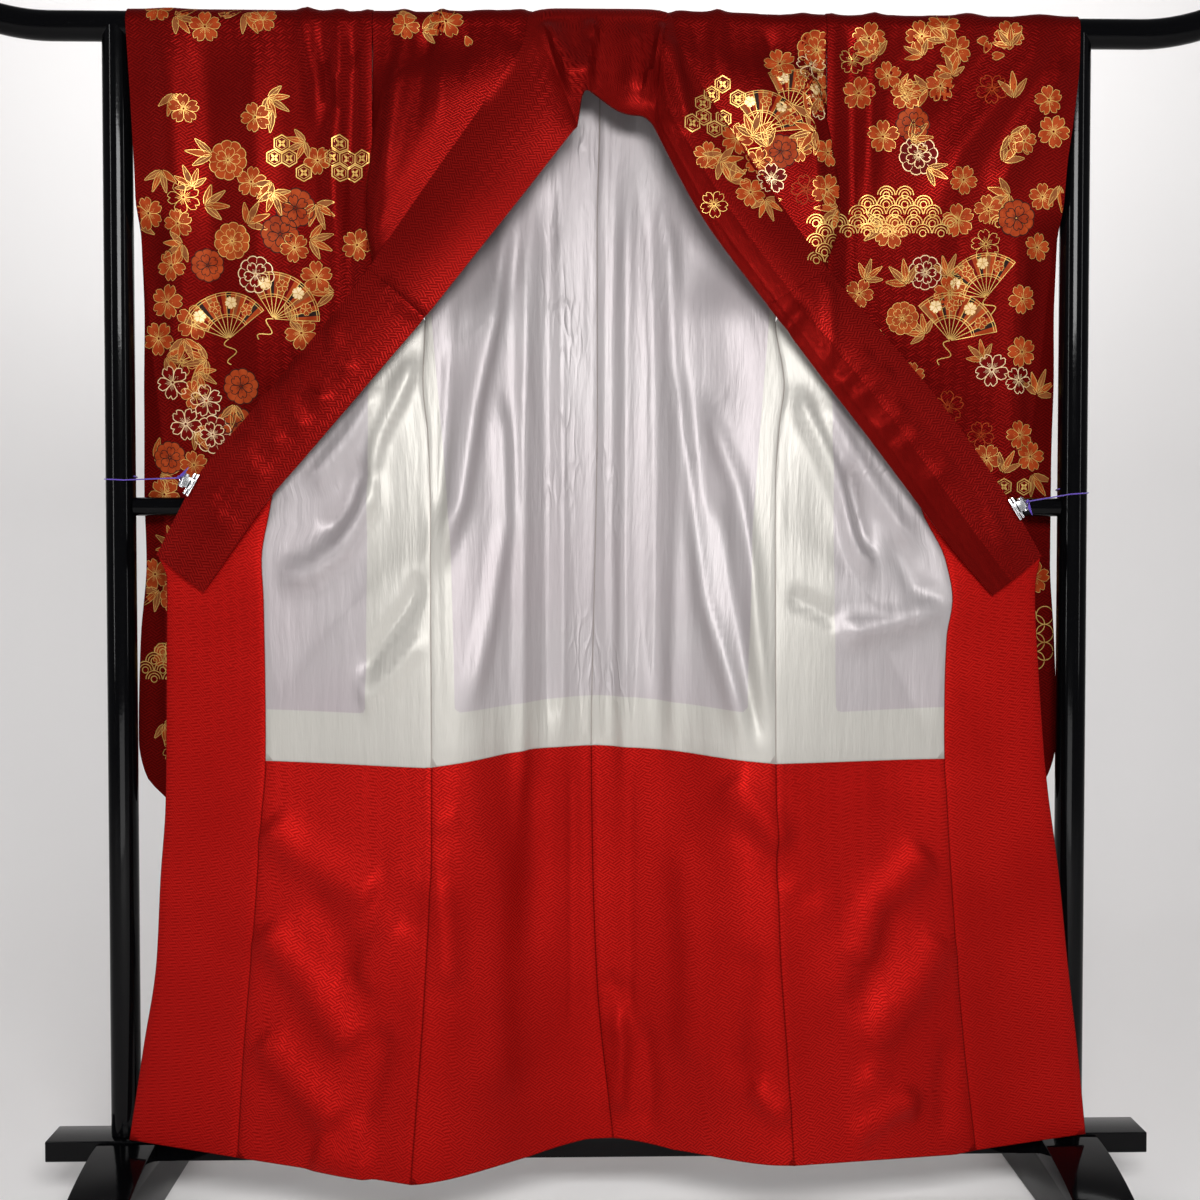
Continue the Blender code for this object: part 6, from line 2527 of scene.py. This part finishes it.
class Printer:
    """Lays ornaments on the cloths that they fall on, from the front or from behind."""

    lift: float = 0.00024
    layer: float = 0.00004
    stray: float = 0.006
    apart: float = 0.037
    leaf_share: float = 0.55
    leaf_away: float = 0.024
    deepest: float = 0.005

    def __init__(self, cloths: dict[str, bpy.types.Object], dyes: list[bpy.types.Material],
                 seed: int) -> None:
        """Take in the cloths, the dyes in slot order and the seed.

        Args:
            cloths: the cloths by name.
            dyes: the dyes in slot order.
            seed: where the random draws start.
        """
        self.dyes, self.rng = dyes, random.Random(seed)
        self.trees, self.boxes = {}, {}
        for name, obj in cloths.items():
            points = [vert.co.copy() for vert in obj.data.vertices]
            faces = [tuple(face.vertices) for face in obj.data.polygons]
            self.trees[name] = BVHTree.FromPolygons(points, faces)
            places = np.array(points)
            self.boxes[name] = (places.min(0), places.max(0))
        self.made: dict[str, tuple[list[np.ndarray], list[np.ndarray], list[np.ndarray]]] = {}
        self.open: tuple[str, ...] = ()

    def stamp(self, letter: str, x: float, z: float, sense: float) -> None:
        """Print one ornament.

        Args:
            letter: its style.
            x: where it goes along X.
            z: its height.
            sense: 1 to print on what shows from the front, -1 from behind.
        """
        style, rng = STYLES[letter], self.rng
        turn, size = rng.uniform(0.0, 2 * math.pi), rng.uniform(0.88, 1.1)
        stray = (rng.uniform(-self.stray, self.stray), rng.uniform(-self.stray, self.stray))
        depth = rng.randrange(7)
        if style.motif is Motif.FAN:
            turn = math.pi / 2 + rng.uniform(-0.9, 0.9)
        if style.motif in (Motif.HEXAGON, Motif.WAVES, Motif.RINGS):
            turn, size, stray = 0.0, 1.0, (0.0, 0.0)
        c, s = math.cos(turn) * size, math.sin(turn) * size
        for grid, dye, level in Ornament(style, rng).grids:
            flat = grid @ np.array([[c, s], [-s, c]]) + np.array([x + stray[0], z + stray[1]])
            self.lay(flat, dye, sense, self.lift + self.layer * (level + 0.7 * depth))

    def lay(self, flat: np.ndarray, dye: Dye, sense: float, lift: float) -> None:
        """Lay one grid on the first cloth that each of its points meets, and keep the cells on one cloth.

        Args:
            flat: the grid's places in X and Z.
            dye: its colour.
            sense: 1 from the front, -1 from behind.
            lift: how far it stands off the cloth.
        """
        places = flat.reshape(-1, 2)
        low, high = places.min(0), places.max(0)
        near = [name for name, (start, end) in self.boxes.items()
                if low[0] < end[0] and high[0] > start[0] and low[1] < end[2] and high[1] > start[2]]
        found = np.zeros((len(places), 3))
        owner = np.full(len(places), -1)
        way = Vector((0.0, sense, 0.0))
        for k, (x, z) in enumerate(places):
            best = 9.0
            for n, name in enumerate(near):
                hit, normal, _, gap = self.trees[name].ray_cast(Vector((x, -sense, z)), way)
                if hit is not None and gap < best and abs(normal.y) > 0.2:
                    best = gap
                    up = lift if normal.y * sense < 0 else -lift
                    found[k], owner[k] = hit - way * lift + normal * up * 0.3, n
        index = np.arange(len(places)).reshape(flat.shape[:2])
        cells = np.stack([index[cell] for cell in CELL], axis=-1).reshape(-1, 4)
        for n, name in enumerate(near):
            mine = cells[(owner[cells] == n).all(axis=1)] if name in self.open else cells[:0]
            depth = found[mine][..., 1]
            mine = mine[(depth.max(axis=1) - depth.min(axis=1)) < self.deepest]
            if not len(mine):
                continue
            used, place = np.unique(mine, return_inverse=True)
            points, faces, slots = self.made.setdefault(name, ([], [], []))
            faces.append(place.reshape(-1, 4) + sum(len(part) for part in points))
            points.append(found[used])
            slots.append(np.full(len(mine), dye.value))

    def scatter(self, text: str, sense: float, on: tuple[str, ...]) -> None:
        """Print a table of letters and places in centimetres.

        Args:
            text: the letters and places.
            sense: 1 to print on what shows from the front, -1 from behind.
            on: the cloths that take it.
        """
        self.open = on
        for word in text.split():
            x, z = (float(part) / 100 for part in word[1:].split(","))
            self.stamp(word[0], x, z, sense)
            if word[0] in "odbGO" and self.rng.random() < self.leaf_share:
                turn, away = self.rng.uniform(0.0, 2 * math.pi), self.leaf_away
                self.stamp("l", x + away * math.cos(turn), z + away * math.sin(turn), sense)

    def mound(self, x: float, z: float, rows: tuple[int, ...], sense: float, letter: str = "s") -> None:
        """Print rows of scales on top of each other.

        Args:
            x: the middle of the lowest row.
            z: its height.
            rows: how many scales each row has, from the lowest up.
            sense: 1 to print on what shows from the front, -1 from behind.
            letter: the style.
        """
        size = STYLES[letter].size
        for n, count in enumerate(rows):
            for k in range(count):
                self.stamp(letter, x + size * (k - (count - 1) / 2), z + n * size / 2, sense)

    def sprinkle(self, patch: Patch, middle: float, on: tuple[str, ...]) -> None:
        """Print ornaments at random behind, apart from each other, over a patch about a middle.

        Args:
            patch: where and what to print.
            middle: the patch's middle along X.
            on: the cloths that take it.
        """
        placed: list[tuple[float, float]] = []
        words = []
        (left, bottom), (right, top) = patch.low, patch.high
        for _ in range(patch.count * 12):
            x, z = self.rng.uniform(middle + left, middle + right), self.rng.uniform(bottom, top)
            if self.rng.random() < patch.rarer * (z - bottom) / (top - bottom) or len(placed) >= patch.count:
                continue
            if all(math.hypot(x - a, z - b) > self.apart for a, b in placed):
                placed.append((x, z))
                words.append(f"{self.rng.choice(patch.letters)}{100 * x:.2f},{100 * z:.2f}")
        self.scatter(" ".join(words), -1.0, on)

    def front(self) -> None:
        """Print what the photograph shows."""
        for place, cloths in PRINTED.items():
            self.scatter(SCATTER[place], 1.0, cloths)
            for x, z, rows, letter in MOUNDS[place]:
                self.mound(x, z, rows, 1.0, letter)

    def behind(self) -> None:
        """Print the hidden side."""
        for side in Side:
            for patch in SLEEVE_PATCHES:
                self.sprinkle(patch, side.sign * SLEEVE_MIDDLE, (f"robe_sleeve_{side.value}",))
            x, z, rows = SLEEVE_MOUND
            self.mound(side.sign * x, z, rows, -1.0)
        body = ("robe_body_left", "robe_body_right", "robe_okumi_left", "robe_okumi_right")
        for patch in BODY_PATCHES:
            self.sprinkle(patch, 0.0, body)
        for x, z, rows in BODY_MOUNDS:
            self.mound(x, z, rows, -1.0)

    def build(self) -> dict[str, bpy.types.Object]:
        """Make one print object for each cloth that took any.

        Returns:
            The prints by their cloth's name.
        """
        prints = {}
        for name, (points, faces, slots) in self.made.items():
            mesh = bpy.data.meshes.new(f"print_{name}")
            mesh.from_pydata(np.concatenate(points).tolist(), [], np.concatenate(faces).tolist())
            mesh.polygons.foreach_set("material_index", np.concatenate(slots).astype(np.int32))
            for dye in self.dyes:
                mesh.materials.append(dye)
            mesh.shade_smooth()
            prints[name] = keep(show(mesh.name, mesh), "silk")
        return prints


DYES: tuple[PrintDye, ...] = (
    PrintDye("print_orange", (0.31, 0.046, 0.010), (0.20, 0.020, 0.004)),
    PrintDye("print_gold", (0.62, 0.40, 0.12), (0.40, 0.22, 0.055), 0.36, 0.45),
    PrintDye("print_black", (0.026, 0.012, 0.009), (0.012, 0.006, 0.005)),
    PrintDye("print_deep_red", (0.120, 0.0022, 0.0018), (0.080, 0.0014, 0.0012)),
    PrintDye("print_cream", (0.72, 0.56, 0.34), (0.55, 0.38, 0.18), 0.36, 0.2),
    PrintDye("print_dull_orange", (0.34, 0.062, 0.012), (0.20, 0.028, 0.006)),
    PrintDye("print_green", (0.250, 0.080, 0.024), (0.140, 0.040, 0.012)),
)


def main() -> None:
    """Build the studio, the stand, the clips and the furisode in order."""
    logging.basicConfig(level=logging.INFO, format="%(name)s: %(message)s")
    studio = Studio()
    studio.camera()
    steel, thread = Steel().dress(), Thread().dress()
    clips = [Clip(side, steel, thread) for side in Side]
    for clip in clips:
        clip.string()
    studio.backdrop()
    studio.lights()
    Stand(Lacquer().dress()).build()
    for clip in clips:
        clip.build()
    silk = DamaskSilk("crimson_damask", (0.070, 0.0014, 0.0014), (0.140, 0.0040, 0.0032)).dress()
    # The collar's silk is the body's crimson made lighter, so the collar shows brighter than the body:
    # painted light.
    collar_silk = DamaskSilk("crimson_damask_collar_painted_light", (0.085, 0.0018, 0.0017),
                             (0.175, 0.0055, 0.0042)).dress()
    red = DamaskSilk("red_damask_lining", (0.220, 0.0034, 0.0029), (0.370, 0.0088, 0.0066),
                      roughness=0.53).dress()
    white = LiningSatin().dress()
    declare = Declarations()
    Robe(silk, red, white, declare).build()
    for side in Side:
        Sleeve(side, silk, white, declare).build()
    Collar(collar_silk, declare).build()
    printer = Printer(declare.named(), [dye.dress() for dye in DYES], SEED)
    printer.front()
    printer.behind()
    declare.finish(printer.build())
    log.info("built %d cloths", len(declare.cloths))


if __name__ == "__main__":
    main()
